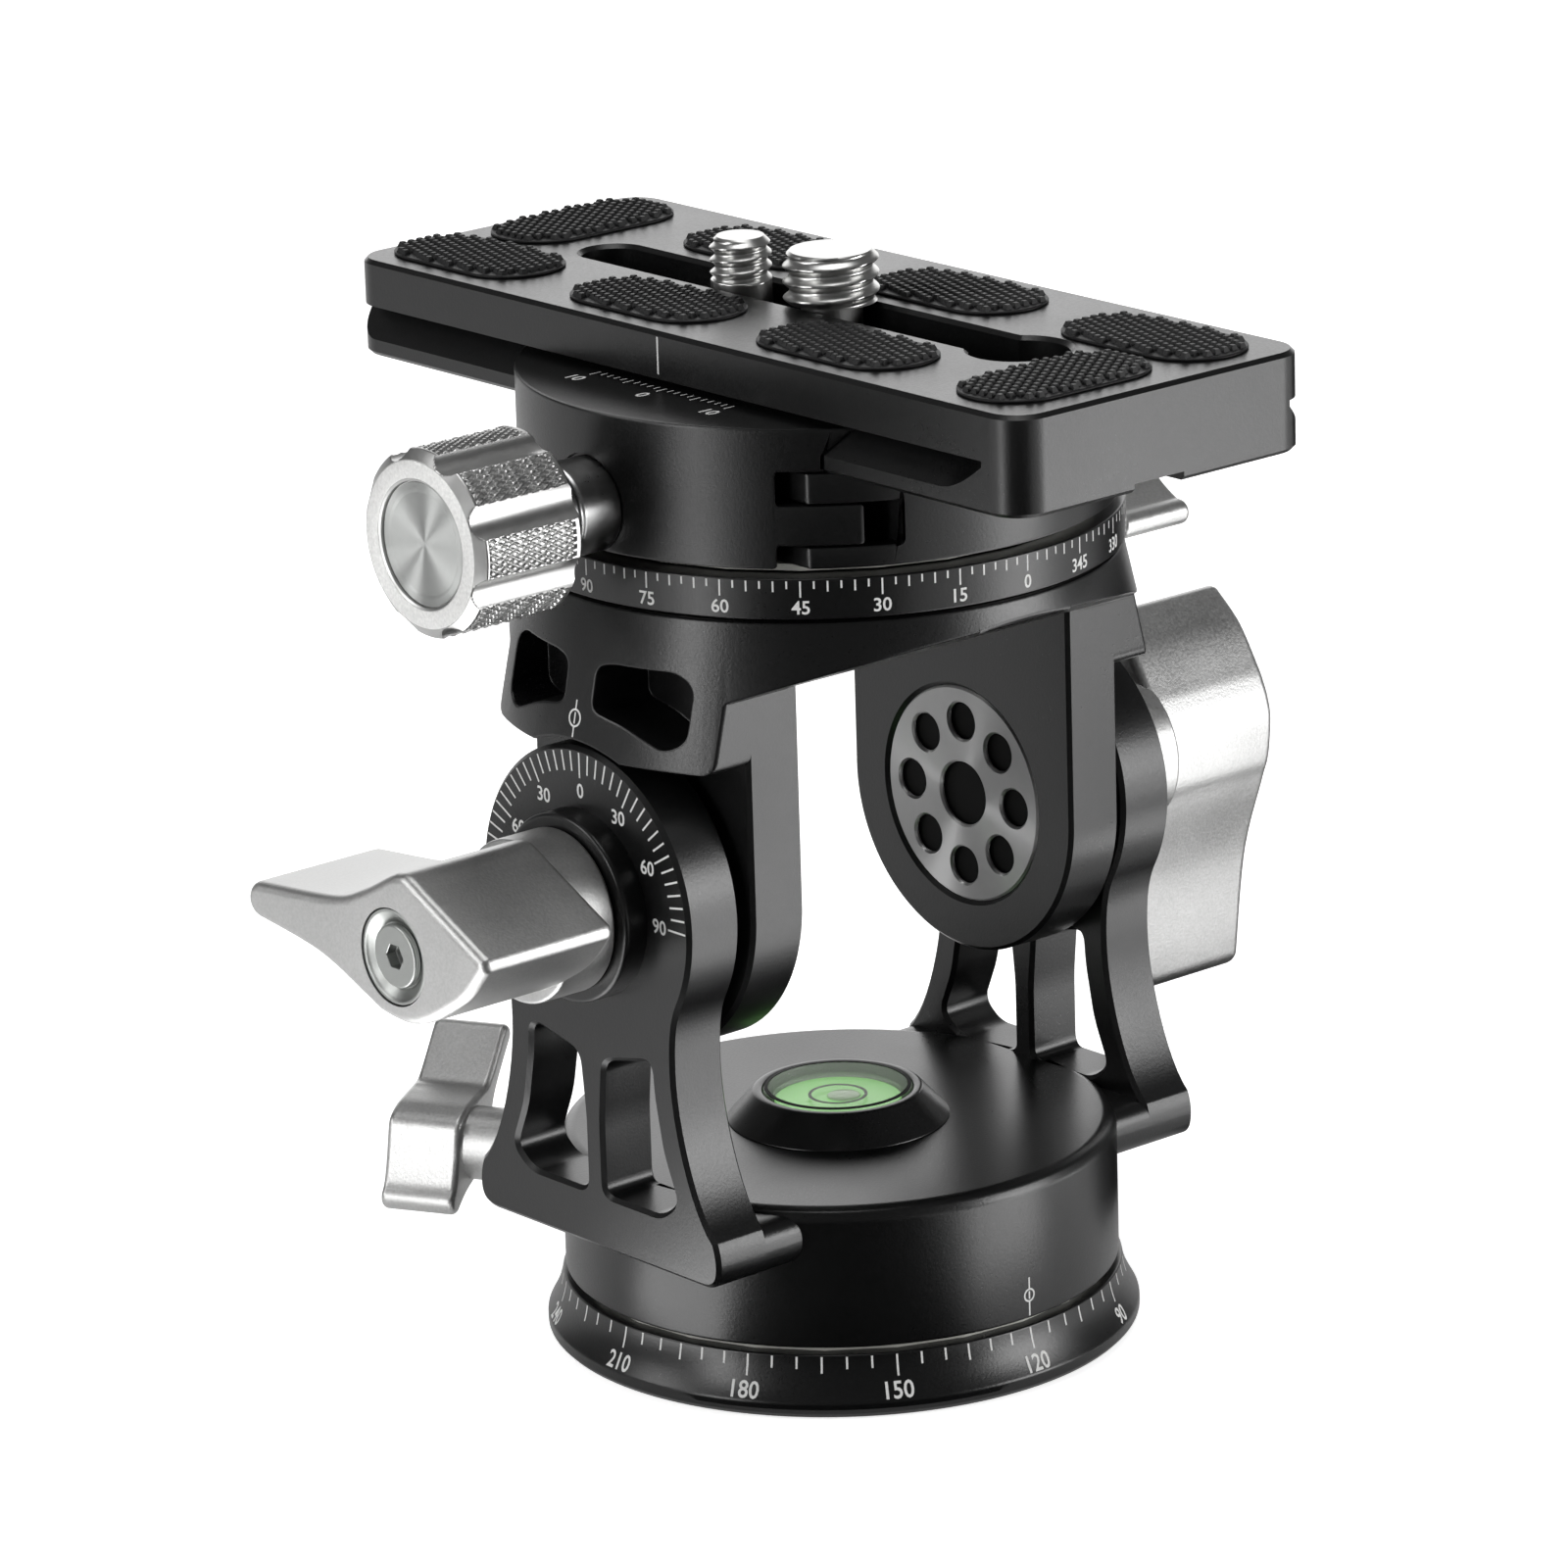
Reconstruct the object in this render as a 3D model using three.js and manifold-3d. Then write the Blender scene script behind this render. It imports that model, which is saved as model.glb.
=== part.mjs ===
// Two-way panoramic head for a camera tripod.
// A base ring carries a pan body with two arms, the arms carry a tilting yoke, and the yoke
// carries a turntable clamp with a long camera plate. Millimetres, +Z up, origin on the pan
// axis at the underside of the base. +X runs along the tilt axis, +Y along the camera plate.

import * as THREE from 'three';
import { mergeVertices } from 'three/addons/utils/BufferGeometryUtils.js';
import Module from 'manifold-3d';

const wasm = await Module();
wasm.setup();

// Facets, clearances and overruns
const ringSides = 48;
const largeSides = 24;
const smallSides = 16;
const holeSides = 12;
const hexSides = 6;
const arcSteps = 5;
const bendSteps = 3;
const legArcSteps = 10;
const runGap = 0.15;
const seatGap = 0.05;
const restGap = 0.3;
const overrun = 1.0;

// Base ring and what it holds
const baseRadius = 30.0;
const baseTopRadius = 28.3;
const baseHeight = 6.1;
const baseChamfer = 0.6;
const baseRimHeight = 1.6;
const baseFlareShares = [[0.41, 0.5], [0.06, 0.96]];
const insertRadius = 7.5;
const insertHeight = 5.9;
const tripodThreadRadius = 4.76;
const baseScrewCircle = 12.5;
const baseScrewCount = 3;
const baseScrewRadius = 1.5;
const baseScrewHeadRadius = 2.8;
const baseScrewHeadHeight = 2.2;
const baseScrewSink = 0.3;
const baseScrewLength = 7.8;
const baseScrewSocketRadius = 1.2;
const baseScrewSocketDepth = 1.1;

// Pan spindle
const spindleFlangeRadius = 18.0;
const spindleFlangeHeight = 2.3;
const spindleRadius = 7.5;
const spindleLength = 8.6;
const spindleThreadRadius = 5.0;
const spindleThreadLength = 2.4;
const spindleHollowRadius = 5.2;
const spindleHollowDepth = 6.9;
const spindleNutRadius = 10.0;
const spindleNutHeight = 2.0;
const panWasherInner = 20.0;
const panWasherOuter = 27.0;
const panWasherThickness = 0.5;

// Pan body and its two arms
const panBodyRadius = 28.0;
const panBodyHeight = 14.4;
const panBodyLift = 0.6;
const panBodyEdge = 1.2;
const nutPocketRadius = 10.6;
const tiltRise = 29.9;
const armInner = 25.3;
const armThickness = 6.5;
const armHeadRadius = 15.7;
const armWaistHalf = 12.45;
const armFootHalf = 18.45;
const armFootDrop = 5.8;
const armFootDepth = 5.2;
const armFootCorner = 2.5;
const armFootReach = 4.8;
const armEdge = 0.4;
const armNeckAngle = 29.2;
const armWaistShare = 0.591;
const armKneeShare = 0.14;
const armNeckPullShare = 0.15;
const armWaistPullShares = [0.66, 0.44];
const armKneePullShares = [0.425, 0.21];
const armKneeOutShare = 0.91;
const armWindowShares = [
  [0.11, 0.5], [0.11, 0], [0.8, 0], [1, 0.12], [0.84, 0.42], [0.75, 0.78], [0.73, 1], [0.16, 0.9],
];
const armWindowReach = 12.4;
const armWindowDrop = 14.3;
const armWindowCorner = 1.3;
const bossRadius = 9.5;
const bossLength = 2.7;
const bushingRadius = 6.2;
const bushingFlangeRadius = 8.0;
const bushingFlangeDepth = 1.2;

// Round bubble level
const levelFootRadius = 11.3;
const levelTopRadius = 8.5;
const levelHeight = 3.1;
const levelPlugDepth = 1.2;
const vialRadius = 7.55;
const vialDepth = 3.2;
const vialWall = 1.1;
const vialRoof = 1.0;
const vialCrown = 0.35;
const vialShoulderShare = 0.95;
const levelDiscThickness = 0.9;

// Tilting yoke
const legInner = 17.6;
const legThickness = 6.6;
const legHalf = 16.3;
const yokeRise = 30.0;
const yokeTopRadius = 29.7;
const yokeHemRadius = 32.85;
const skirtDrop = 14.7;
const skirtCorner = 1.4;
const yokeRoofDrop = 7.8;
const yokeRimDrop = 2.4;
const yokeRimEdge = 0.5;
const headClearance = 0.9;
const yokeBossRadius = 11.9;
const scaleRingRadius = 30.0;
const scaleRingHeight = 4.0;
const scaleRingStep = 0.4;
const scaleRingStepRadius = 29.0;
const skirtWindowReach = 13.2;
const skirtWindowDrop = 5.3;
const skirtWindowHeight = 7.5;
const skirtWindowCorner = 1.1;
const skirtWindowShares = [
  [0.16, 0.9], [0.16, 0.36], [0.48, 0.25], [0.84, 0], [1, 0.14], [1, 0.84], [0.86, 1], [0.3, 0.98],
];
const discRadius = 11.15;
const discThickness = 1.7;
const discSink = 0.2;
const discHoleCount = 8;
const discHoleRadius = 1.95;
const discHoleCircle = 7.6;
const discCentreHole = 3.3;
const legRecessRadius = 10.0;
const legRecessDepth = 3.0;
const tiltBoltRadius = 4.0;
const tiltBoltHeadRadius = 5.5;
const tiltBoltHeadLength = 2.4;
const tiltBoltHexRadius = 2.9;
const tiltBoltHexDepth = 1.4;
const tiltBoltReach = 46.0;
const frictionWasherRadius = 12.0;
const frictionWasherThickness = 1.0;

// Big wing knobs at the ends of the tilt axis
const knobFace = 55.5;
const bigWing = {
  blade: 23.0, tip: 13.8, peak: 8.6, belly: 6.7, endRadius: 1.85, depth: 16.1, bevel: 0.7,
  hubRadius: 8.2, boreRadius: tiltBoltRadius + runGap, boreFloor: 8.0,
  pocketRadius: 4.8, pocketDepth: 2.9, screwRadius: 1.6, screwLength: 4.5,
  headRadius: 2.95, headHeight: 1.9, socketRadius: 1.25, socketDepth: 1.1,
  washerRadius: 4.5, washerThickness: 0.6, washerRise: 0.7, washerFlatRadius: 3.3,
};
const rightBlade = 27.0;

// Small wing knobs that lock the pan axis and the turntable
const upperWing = {
  blade: 12.6, tip: 7.6, peak: 3.5, belly: 4.2, endRadius: 1.1, endRise: 0.1, lipRadius: 1.3, lipDrop: 0.8,
  shift: [0, 0], depth: 9.0, bevel: 0.4, hubRadius: 3.5, boreRadius: 2.0, boreFloor: 3.0,
};
const rearWing = {
  ...upperWing, blade: 13.4, tip: 8.9, peak: 4.2, belly: 4.4, shift: [0.44, 0.54], depth: 8.1, hubRadius: 3.8,
};
const lockScrewRadius = 1.95;
const lockBoreRadius = 2.15;
const lockShoeRadius = 2.0;
const lockShoeLength = 3.0;
const rearLockRise = 7.6;
const rearLockAngle = 118.5;
const rearLockFace = 48.0;
const rearLockBladeAngle = 141.0;
const upperLockDrop = 3.4;
const upperLockFace = 43.0;

// Outline of a big wing knob, as shares of its blade, tip, peak and belly
const wingTopShares = [
  [0.435, 0.453], [0.217, 0.651], [0.02, 0.93], [-0.07, 0.985], [-0.145, 0.99], [-0.22, 0.945], [-0.32, 0.858],
];
const wingTipShares = [[-0.978, 0.326], [-1.02, 0.26], [-1.0, 0.16]];
const wingBellyShares = [
  [-0.47, -0.68], [-0.36, -0.82], [-0.23, -0.92], [-0.072, -0.97],
  [0.109, -0.91], [0.217, -0.761], [0.522, -0.358],
];
const wingCentreShare = 0.105;

// Outline of a small wing knob, whose tip ends in a rounded lip, as shares of the same four sizes
const lipTopShares = [
  [0.478, 0.19], [0.343, 0.357], [0.224, 0.595], [0.067, 0.88],
  [-0.146, 1.0], [-0.326, 0.786], [-0.539, 0.452], [-0.753, 0.18],
];
const lipBellyShares = [
  [-0.62, -0.57], [-0.38, -0.76], [-0.11, -0.99], [0.09, -0.98], [0.24, -0.69], [0.478, -0.357],
];

// Turntable clamp
const clampRadius = 29.6;
const clampLift = 0.8;
const clampBlockHeight = 13.8;
const clampEdge = 0.5;
const clampChannelDepth = 4.4;
const jawGap = 0.1;
const jawWall = 22.3;
const prongEnd = 20.3;
const tongueEnd = 16.0;
const notchEnd = 12.9;
const tongueThickness = 4.0;
const tongueDrop = 0.15;
const tongueGap = 0.1;
const clampScrewRise = 4.4;
const clampScrewRadius = 2.5;
const clampScrewEnd = 3.0;
const clampBoreEnd = 1.5;
const guidePinRadius = 1.5;
const guidePinSpread = 13.5;
const guidePinOuter = 23.0;
const guidePinInner = 6.0;
const springSpread = 9.0;
const springRadius = 1.6;
const springWire = 0.3;
const springTurns = 5;
const springStepsPerTurn = 8;
const springSides = 4;
const springInner = 6.5;
const turntableSpindleRadius = 8.0;
const turntableTenonRadius = 6.0;
const turntableTenonLength = 1.6;
const turntableThreadRadius = 5.5;
const turntableNutRadius = 11.6;
const turntableNutHeight = 1.8;
const turntableNutSink = 0.1;
const turntableNutPocket = 12.2;
const turntableWasherInner = 14.0;
const turntableWasherOuter = 27.5;
const turntableWasherThickness = 0.65;

// Clamp knob
const clampKnobFace = 50.0;
const clampKnobBack = 37.5;
const clampKnobRadius = 9.2;
const clampKnobFaceRadius = 8.0;
const clampKnobEdge = 1.0;
const clampKnobRecessRadius = 6.1;
const clampKnobRecessDepth = 0.5;
const clampKnobFaceWall = 4.0;
const clampKnobNeckRadius = 4.7;
const clampKnobFlutes = 8;
const clampKnobFluteRadius = 1.7;
const clampKnobFluteSink = 0.75;
const clampSeat = 29.1;

// Camera plate
const plateHalfWidth = 19.0;
const plateHalfLength = 49.6;
const plateCorner = 3.75;
const plateHeight = 9.8;
const plateEdge = 0.4;
const plateSlabHeight = 4.7;
const plateLipHeight = 1.7;
const plateGrooveDepth = 2.8;
const plateGrooveStop = 44.8;
const dovetailGap = 0.05;
const slotHalf = 3.25;
const slotEnd = 30.75;
const keyholeRadius = 4.9;
const keyholeY = -29.5;
const pocketHalf = 7.6;
const pocketHalfLength = 35.5;
const pocketDepth = 5.6;
const endChannelHalf = 3.2;
const endChannelOffset = -1.0;
const endChannelDepth = 0.9;
const padWidth = 10.9;
const padLength = 21.0;
const padThickness = 0.5;
const padLayoutY = 1.0;
const padShares = [[-0.579, 0.756, 0], [-0.579, 0.195, 0], [-0.579, -0.37, 0], [-0.318, -0.845, 1]];

// Camera screws that slide along the slot
const screwHeadLift = 1.6;
const screwNeckRadius = 3.05;
const screwWasherThickness = 0.6;
const screwSlotWidth = 1.4;
const screwSlotDepth = 1.2;
const screwEdge = 0.4;
const bigScrew = { name: 'big', y: -2.5, threadRadius: 4.76, headRadius: 6.9, rise: 5.5, collar: 0.3 };
const smallScrew = { name: 'small', y: 11.0, threadRadius: 3.1, headRadius: 5.6, rise: 4.8, collar: 0.3 };

// Finishes
const blackAnodised = { color: 0x2d2e2f, roughness: 0.5, metalness: 0.6 };
const silverCast = { color: 0xcfcfcd, roughness: 0.38, metalness: 0.85 };
const turnedAluminium = { color: 0xc4c4c2, roughness: 0.3, metalness: 0.9 };
const steel = { color: 0xb9b9b8, roughness: 0.25, metalness: 0.95 };
const darkSteel = { color: 0x4a4a4b, roughness: 0.4, metalness: 0.8 };
const brass = { color: 0xb5934e, roughness: 0.35, metalness: 0.9 };
const bronze = { color: 0x8f6a3f, roughness: 0.45, metalness: 0.8 };
const polymer = { color: 0xdcdcd6, roughness: 0.6, metalness: 0.0 };
const rubber = { color: 0x1d1d1d, roughness: 0.9, metalness: 0.0 };
const clearAcrylic = { color: 0xd9efd2, roughness: 0.1, metalness: 0.0 };
const levelGreen = { color: 0x86c96b, roughness: 0.4, metalness: 0.0 };

// Places worked out from the sizes above
const panBodyBottom = baseHeight + panBodyLift;
const panBodyTop = panBodyBottom + panBodyHeight;
const spindleShoulder = baseHeight + spindleFlangeHeight + spindleLength;
const panWebTop = spindleShoulder - runGap;
const panWebBottom = baseHeight + spindleFlangeHeight + restGap;
const armOuter = armInner + armThickness;
const armWindowBottom = panBodyTop;
const armWindowHeight = tiltRise - armWindowDrop;
const armFootBottom = panBodyTop - armFootDrop;
const rearLockHeight = panBodyBottom + rearLockRise;
const tiltHeight = panBodyTop + tiltRise;
const yokeTop = tiltHeight + yokeRise;
const skirtBottom = yokeTop - skirtDrop;
const yokeRoof = yokeTop - yokeRoofDrop;
const yokeRimZ = yokeTop - yokeRimDrop;
const skirtWindowTop = yokeTop - skirtWindowDrop;
const upperLockHeight = yokeTop - upperLockDrop;
const bossFace = armOuter + bossLength;
const legOuter = legInner + legThickness;
const scaleRingBottom = yokeTop + scaleRingStep;
const scaleRingTop = scaleRingBottom + scaleRingHeight;
const clampBottom = scaleRingTop + clampLift;
const clampTop = clampBottom + clampBlockHeight;
const clampFloor = clampTop - clampChannelDepth;
const clampScrewHeight = clampBottom + clampScrewRise;
const tongueBottom = clampScrewHeight - tongueThickness / 2 - tongueDrop;
const tongueTop = tongueBottom + tongueThickness;
const plateLipTop = clampFloor + plateLipHeight;
const plateTop = clampFloor + plateHeight;
const plateSlabBottom = plateTop - plateSlabHeight;
const pocketRoof = clampFloor + pocketDepth;
const screwHeadBottom = clampFloor + screwHeadLift;
const hubStart = bossFace + runGap;
const turntableShoulder = yokeRoof + turntableNutSink + turntableNutHeight;
const yokeWebBottom = turntableShoulder + runGap;
const plateWaist = plateHalfWidth - plateGrooveDepth;
const degree = Math.PI / 180;

// A closed solid from a three.js geometry: vertices merged, slivers dropped, faces out
function solidOf(geometry) {
  geometry.deleteAttribute('normal');
  geometry.deleteAttribute('uv');
  const merged = mergeVertices(geometry);
  const position = merged.attributes.position;
  const index = merged.index;
  const triangles = [];
  const a = new THREE.Vector3();
  const b = new THREE.Vector3();
  const c = new THREE.Vector3();
  let volume = 0;
  for (let i = 0; i < index.count; i += 3) {
    const corner = [index.getX(i), index.getX(i + 1), index.getX(i + 2)];
    if (corner[0] === corner[1] || corner[1] === corner[2] || corner[2] === corner[0]) {
      continue;
    }
    a.fromBufferAttribute(position, corner[0]);
    b.fromBufferAttribute(position, corner[1]);
    c.fromBufferAttribute(position, corner[2]);
    volume += a.dot(b.cross(c));
    triangles.push(corner);
  }
  const facing = volume < 0 ? triangles.map(([i, j, k]) => [i, k, j]) : triangles;
  return new wasm.Manifold(new wasm.Mesh({
    numProp: 3,
    vertProperties: new Float32Array(position.array),
    triVerts: new Uint32Array(facing.flat()),
  }));
}

function join(...solids) {
  return solids.reduce((whole, next) => whole.add(next));
}

function cut(solid, ...tools) {
  return tools.reduce((left, tool) => left.subtract(tool), solid);
}

function meshOf(name, solid, finish) {
  const made = solid.getMesh();
  const geometry = new THREE.BufferGeometry();
  geometry.setAttribute('position', new THREE.BufferAttribute(new Float32Array(made.vertProperties), 3));
  geometry.setIndex(new THREE.BufferAttribute(new Uint32Array(made.triVerts), 1));
  geometry.computeVertexNormals();
  const mesh = new THREE.Mesh(geometry, new THREE.MeshStandardMaterial(finish));
  mesh.name = name;
  return mesh;
}

// A body of revolution about Z from (radius, height) pairs
function turned(profile, sides = largeSides) {
  const points = profile.map(([radius, height]) => new THREE.Vector2(radius, height));
  if (points[0].x > 0) {
    points.push(points[0].clone());
  }
  return new THREE.LatheGeometry(points, sides).rotateX(Math.PI / 2);
}

// The same about the line along X at a given height, from (radius, x) pairs
function turnedAlongX(profile, height, sides = largeSides) {
  return turned(profile, sides).rotateY(Math.PI / 2).translate(0, 0, height);
}

function rodAlongX(radius, from, to, y, height, sides = smallSides) {
  const low = Math.min(from, to);
  const high = Math.max(from, to);
  return turnedAlongX([[0, low], [radius, low], [radius, high], [0, high]], height, sides).translate(0, y, 0);
}

function rodAlongZ(radius, low, high, x, y, sides = smallSides) {
  return turned([[0, low], [radius, low], [radius, high], [0, high]], sides).translate(x, y, 0);
}

function block(lowX, highX, lowY, highY, lowZ, highZ) {
  const box = new THREE.BoxGeometry(highX - lowX, highY - lowY, highZ - lowZ);
  return box.translate((lowX + highX) / 2, (lowY + highY) / 2, (lowZ + highZ) / 2);
}

// An outline in the Y-Z plane pushed along X, with an even bevel inside its faces
function plateAlongX(shape, from, to, bevel = 0, curveSegments = bendSteps) {
  const low = Math.min(from, to);
  const depth = Math.abs(to - from);
  const geometry = new THREE.ExtrudeGeometry(shape, {
    depth: depth - 2 * bevel,
    curveSegments,
    bevelEnabled: bevel > 0,
    bevelThickness: bevel,
    bevelSize: bevel,
    bevelOffset: -bevel,
    bevelSegments: 1,
  });
  return geometry.translate(0, 0, bevel).rotateX(Math.PI / 2).rotateZ(Math.PI / 2).translate(low, 0, 0);
}

// An outline in the X-Z plane pushed along Y
function plateAlongY(shape, from, to) {
  const geometry = new THREE.ExtrudeGeometry(shape, { depth: to - from, bevelEnabled: false });
  return geometry.rotateX(Math.PI / 2).translate(0, to, 0);
}

// An outline in the X-Y plane pushed up along Z
function plateAlongZ(shape, low, high, bevel = 0, curveSegments = arcSteps) {
  const geometry = new THREE.ExtrudeGeometry(shape, {
    depth: high - low - 2 * bevel,
    curveSegments,
    bevelEnabled: bevel > 0,
    bevelThickness: bevel,
    bevelSize: bevel,
    bevelOffset: -bevel,
    bevelSegments: 1,
  });
  return geometry.translate(0, 0, low + bevel);
}

function polygon(points) {
  return new THREE.Shape(points.map(([x, y]) => new THREE.Vector2(x, y)));
}

// A polygon with each corner rounded off by a curve that starts the same distance before it
function roundedPolygon(points, corner) {
  const shape = new THREE.Shape();
  points.forEach((point, i) => {
    const here = new THREE.Vector2(...point);
    const last = new THREE.Vector2(...points[(i + points.length - 1) % points.length]);
    const next = new THREE.Vector2(...points[(i + 1) % points.length]);
    const backStep = Math.min(corner, here.distanceTo(last) / 2);
    const foreStep = Math.min(corner, here.distanceTo(next) / 2);
    const enter = here.clone().add(last.sub(here).setLength(backStep));
    const leave = here.clone().add(next.sub(here).setLength(foreStep));
    if (i === 0) {
      shape.moveTo(enter.x, enter.y);
    } else {
      shape.lineTo(enter.x, enter.y);
    }
    shape.quadraticCurveTo(here.x, here.y, leave.x, leave.y);
  });
  return shape;
}

function roundedRectangle(halfX, halfY, corner) {
  const shape = new THREE.Shape();
  shape.absarc(halfX - corner, halfY - corner, corner, 0, Math.PI / 2);
  shape.absarc(corner - halfX, halfY - corner, corner, Math.PI / 2, Math.PI);
  shape.absarc(corner - halfX, corner - halfY, corner, Math.PI, 1.5 * Math.PI);
  shape.absarc(halfX - corner, corner - halfY, corner, 1.5 * Math.PI, 2 * Math.PI);
  return shape;
}

// Places of the three screws that hold the spindle to the base ring
function baseScrewPlaces() {
  return Array.from({ length: baseScrewCount }, (_, i) => {
    const turn = (2 * Math.PI * i) / baseScrewCount;
    return [baseScrewCircle * Math.cos(turn), baseScrewCircle * Math.sin(turn)];
  });
}

function baseRing() {
  const bore = insertRadius + seatGap;
  const flare = baseFlareShares.map(([out, up]) => [
    baseTopRadius + out * (baseRadius - baseTopRadius),
    baseRimHeight + up * (baseHeight - baseRimHeight),
  ]);
  const ring = solidOf(turned([
    [bore, 0],
    [baseRadius - baseChamfer, 0],
    [baseRadius, baseChamfer],
    [baseRadius, baseRimHeight],
    ...flare,
    [baseTopRadius, baseHeight],
    [bore, baseHeight],
  ], ringSides));
  const headDepth = baseScrewSink + baseScrewHeadHeight + seatGap;
  const holes = baseScrewPlaces().flatMap(([x, y]) => [
    solidOf(rodAlongZ(baseScrewRadius + seatGap, -overrun, baseHeight + overrun, x, y)),
    solidOf(rodAlongZ(baseScrewHeadRadius + runGap, -overrun, headDepth, x, y)),
  ]);
  return cut(ring, ...holes);
}

function baseScrew([x, y]) {
  const headTop = baseScrewSink + baseScrewHeadHeight;
  const body = solidOf(turned([
    [0, baseScrewSink],
    [baseScrewHeadRadius, baseScrewSink],
    [baseScrewHeadRadius, headTop],
    [baseScrewRadius, headTop],
    [baseScrewRadius, baseScrewSink + baseScrewLength],
    [0, baseScrewSink + baseScrewLength],
  ], smallSides).translate(x, y, 0));
  const socketTop = baseScrewSink + baseScrewSocketDepth;
  return cut(body, solidOf(rodAlongZ(baseScrewSocketRadius, -overrun, socketTop, x, y, hexSides)));
}

function threadInsert() {
  return solidOf(turned([
    [tripodThreadRadius, 0],
    [insertRadius, 0],
    [insertRadius, insertHeight],
    [tripodThreadRadius, insertHeight],
  ]));
}

function panSpindle() {
  const flangeTop = baseHeight + spindleFlangeHeight;
  const body = solidOf(turned([
    [spindleHollowRadius, baseHeight],
    [spindleFlangeRadius, baseHeight],
    [spindleFlangeRadius, flangeTop],
    [spindleRadius, flangeTop],
    [spindleRadius, spindleShoulder],
    [spindleThreadRadius, spindleShoulder],
    [spindleThreadRadius, spindleShoulder + spindleThreadLength],
    [0, spindleShoulder + spindleThreadLength],
    [0, baseHeight + spindleHollowDepth],
    [spindleHollowRadius, baseHeight + spindleHollowDepth],
  ]));
  const holes = baseScrewPlaces().map(([x, y]) => (
    solidOf(rodAlongZ(baseScrewRadius + seatGap, baseHeight - overrun, flangeTop + overrun, x, y))
  ));
  return cut(body, ...holes);
}

// A flat ring between two heights
function ringAlongZ(inner, outer, low, high, sides = largeSides) {
  return solidOf(turned([[inner, low], [outer, low], [outer, high], [inner, high]], sides));
}

// The outline of one arm in the Y-Z plane: round head, drawn-in waist, spread foot
function armOutline() {
  const height = tiltHeight - armFootBottom;
  const neck = armNeckAngle * degree;
  const neckY = armHeadRadius * Math.cos(neck);
  const neckZ = tiltHeight - armHeadRadius * Math.sin(neck);
  const pull = armHeadRadius * armNeckPullShare;
  const waistZ = armFootBottom + armWaistShare * height;
  const kneeZ = armFootBottom + armKneeShare * height;
  const cornerZ = armFootBottom + armFootCorner;
  const kneeY = armWaistHalf + armKneeOutShare * (armFootHalf - armWaistHalf);
  const kneePullY = armWaistHalf + armKneePullShares[0] * (armFootHalf - armWaistHalf);
  const kneePullZ = armFootBottom + armKneePullShares[1] * height;
  const shape = new THREE.Shape();
  shape.absarc(0, tiltHeight, armHeadRadius, -neck, Math.PI + neck);
  for (const side of [-1, 1]) {
    const points = [
      [side * neckY, neckZ],
      [side * (neckY - pull * Math.sin(neck)), neckZ - pull * Math.cos(neck)],
      [side * armWaistHalf, armFootBottom + armWaistPullShares[0] * height],
      [side * armWaistHalf, waistZ],
      [side * armWaistHalf, armFootBottom + armWaistPullShares[1] * height],
      [side * kneePullY, kneePullZ],
      [side * kneeY, kneeZ],
      [side * armFootHalf, (kneeZ + cornerZ) / 2],
      [side * armFootHalf, cornerZ],
      [side * armFootHalf, armFootBottom],
      [side * (armFootHalf - armFootCorner), armFootBottom],
    ];
    const walk = side < 0 ? points : points.reverse();
    if (side > 0) {
      shape.lineTo(...walk[0]);
      shape.quadraticCurveTo(...walk[1], ...walk[2]);
      shape.quadraticCurveTo(...walk[3], ...walk[4]);
      shape.bezierCurveTo(...walk[5], ...walk[6], ...walk[7]);
      shape.bezierCurveTo(...walk[8], ...walk[9], ...walk[10]);
    } else {
      shape.bezierCurveTo(...walk[1], ...walk[2], ...walk[3]);
      shape.bezierCurveTo(...walk[4], ...walk[5], ...walk[6]);
      shape.quadraticCurveTo(...walk[7], ...walk[8]);
      shape.quadraticCurveTo(...walk[9], ...walk[10]);
    }
  }
  return shape;
}

function armWindow(side) {
  const points = armWindowShares.map(([out, up]) => [
    side * out * armWindowReach,
    armWindowBottom + up * armWindowHeight,
  ]);
  return roundedPolygon(points, armWindowCorner);
}

// A bore that runs outward from the pan axis at an angle in the X-Y plane
function radialRod(radius, from, to, angle, height, sides = smallSides) {
  return rodAlongX(radius, from, to, 0, height, sides).rotateZ(angle * degree);
}

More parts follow.
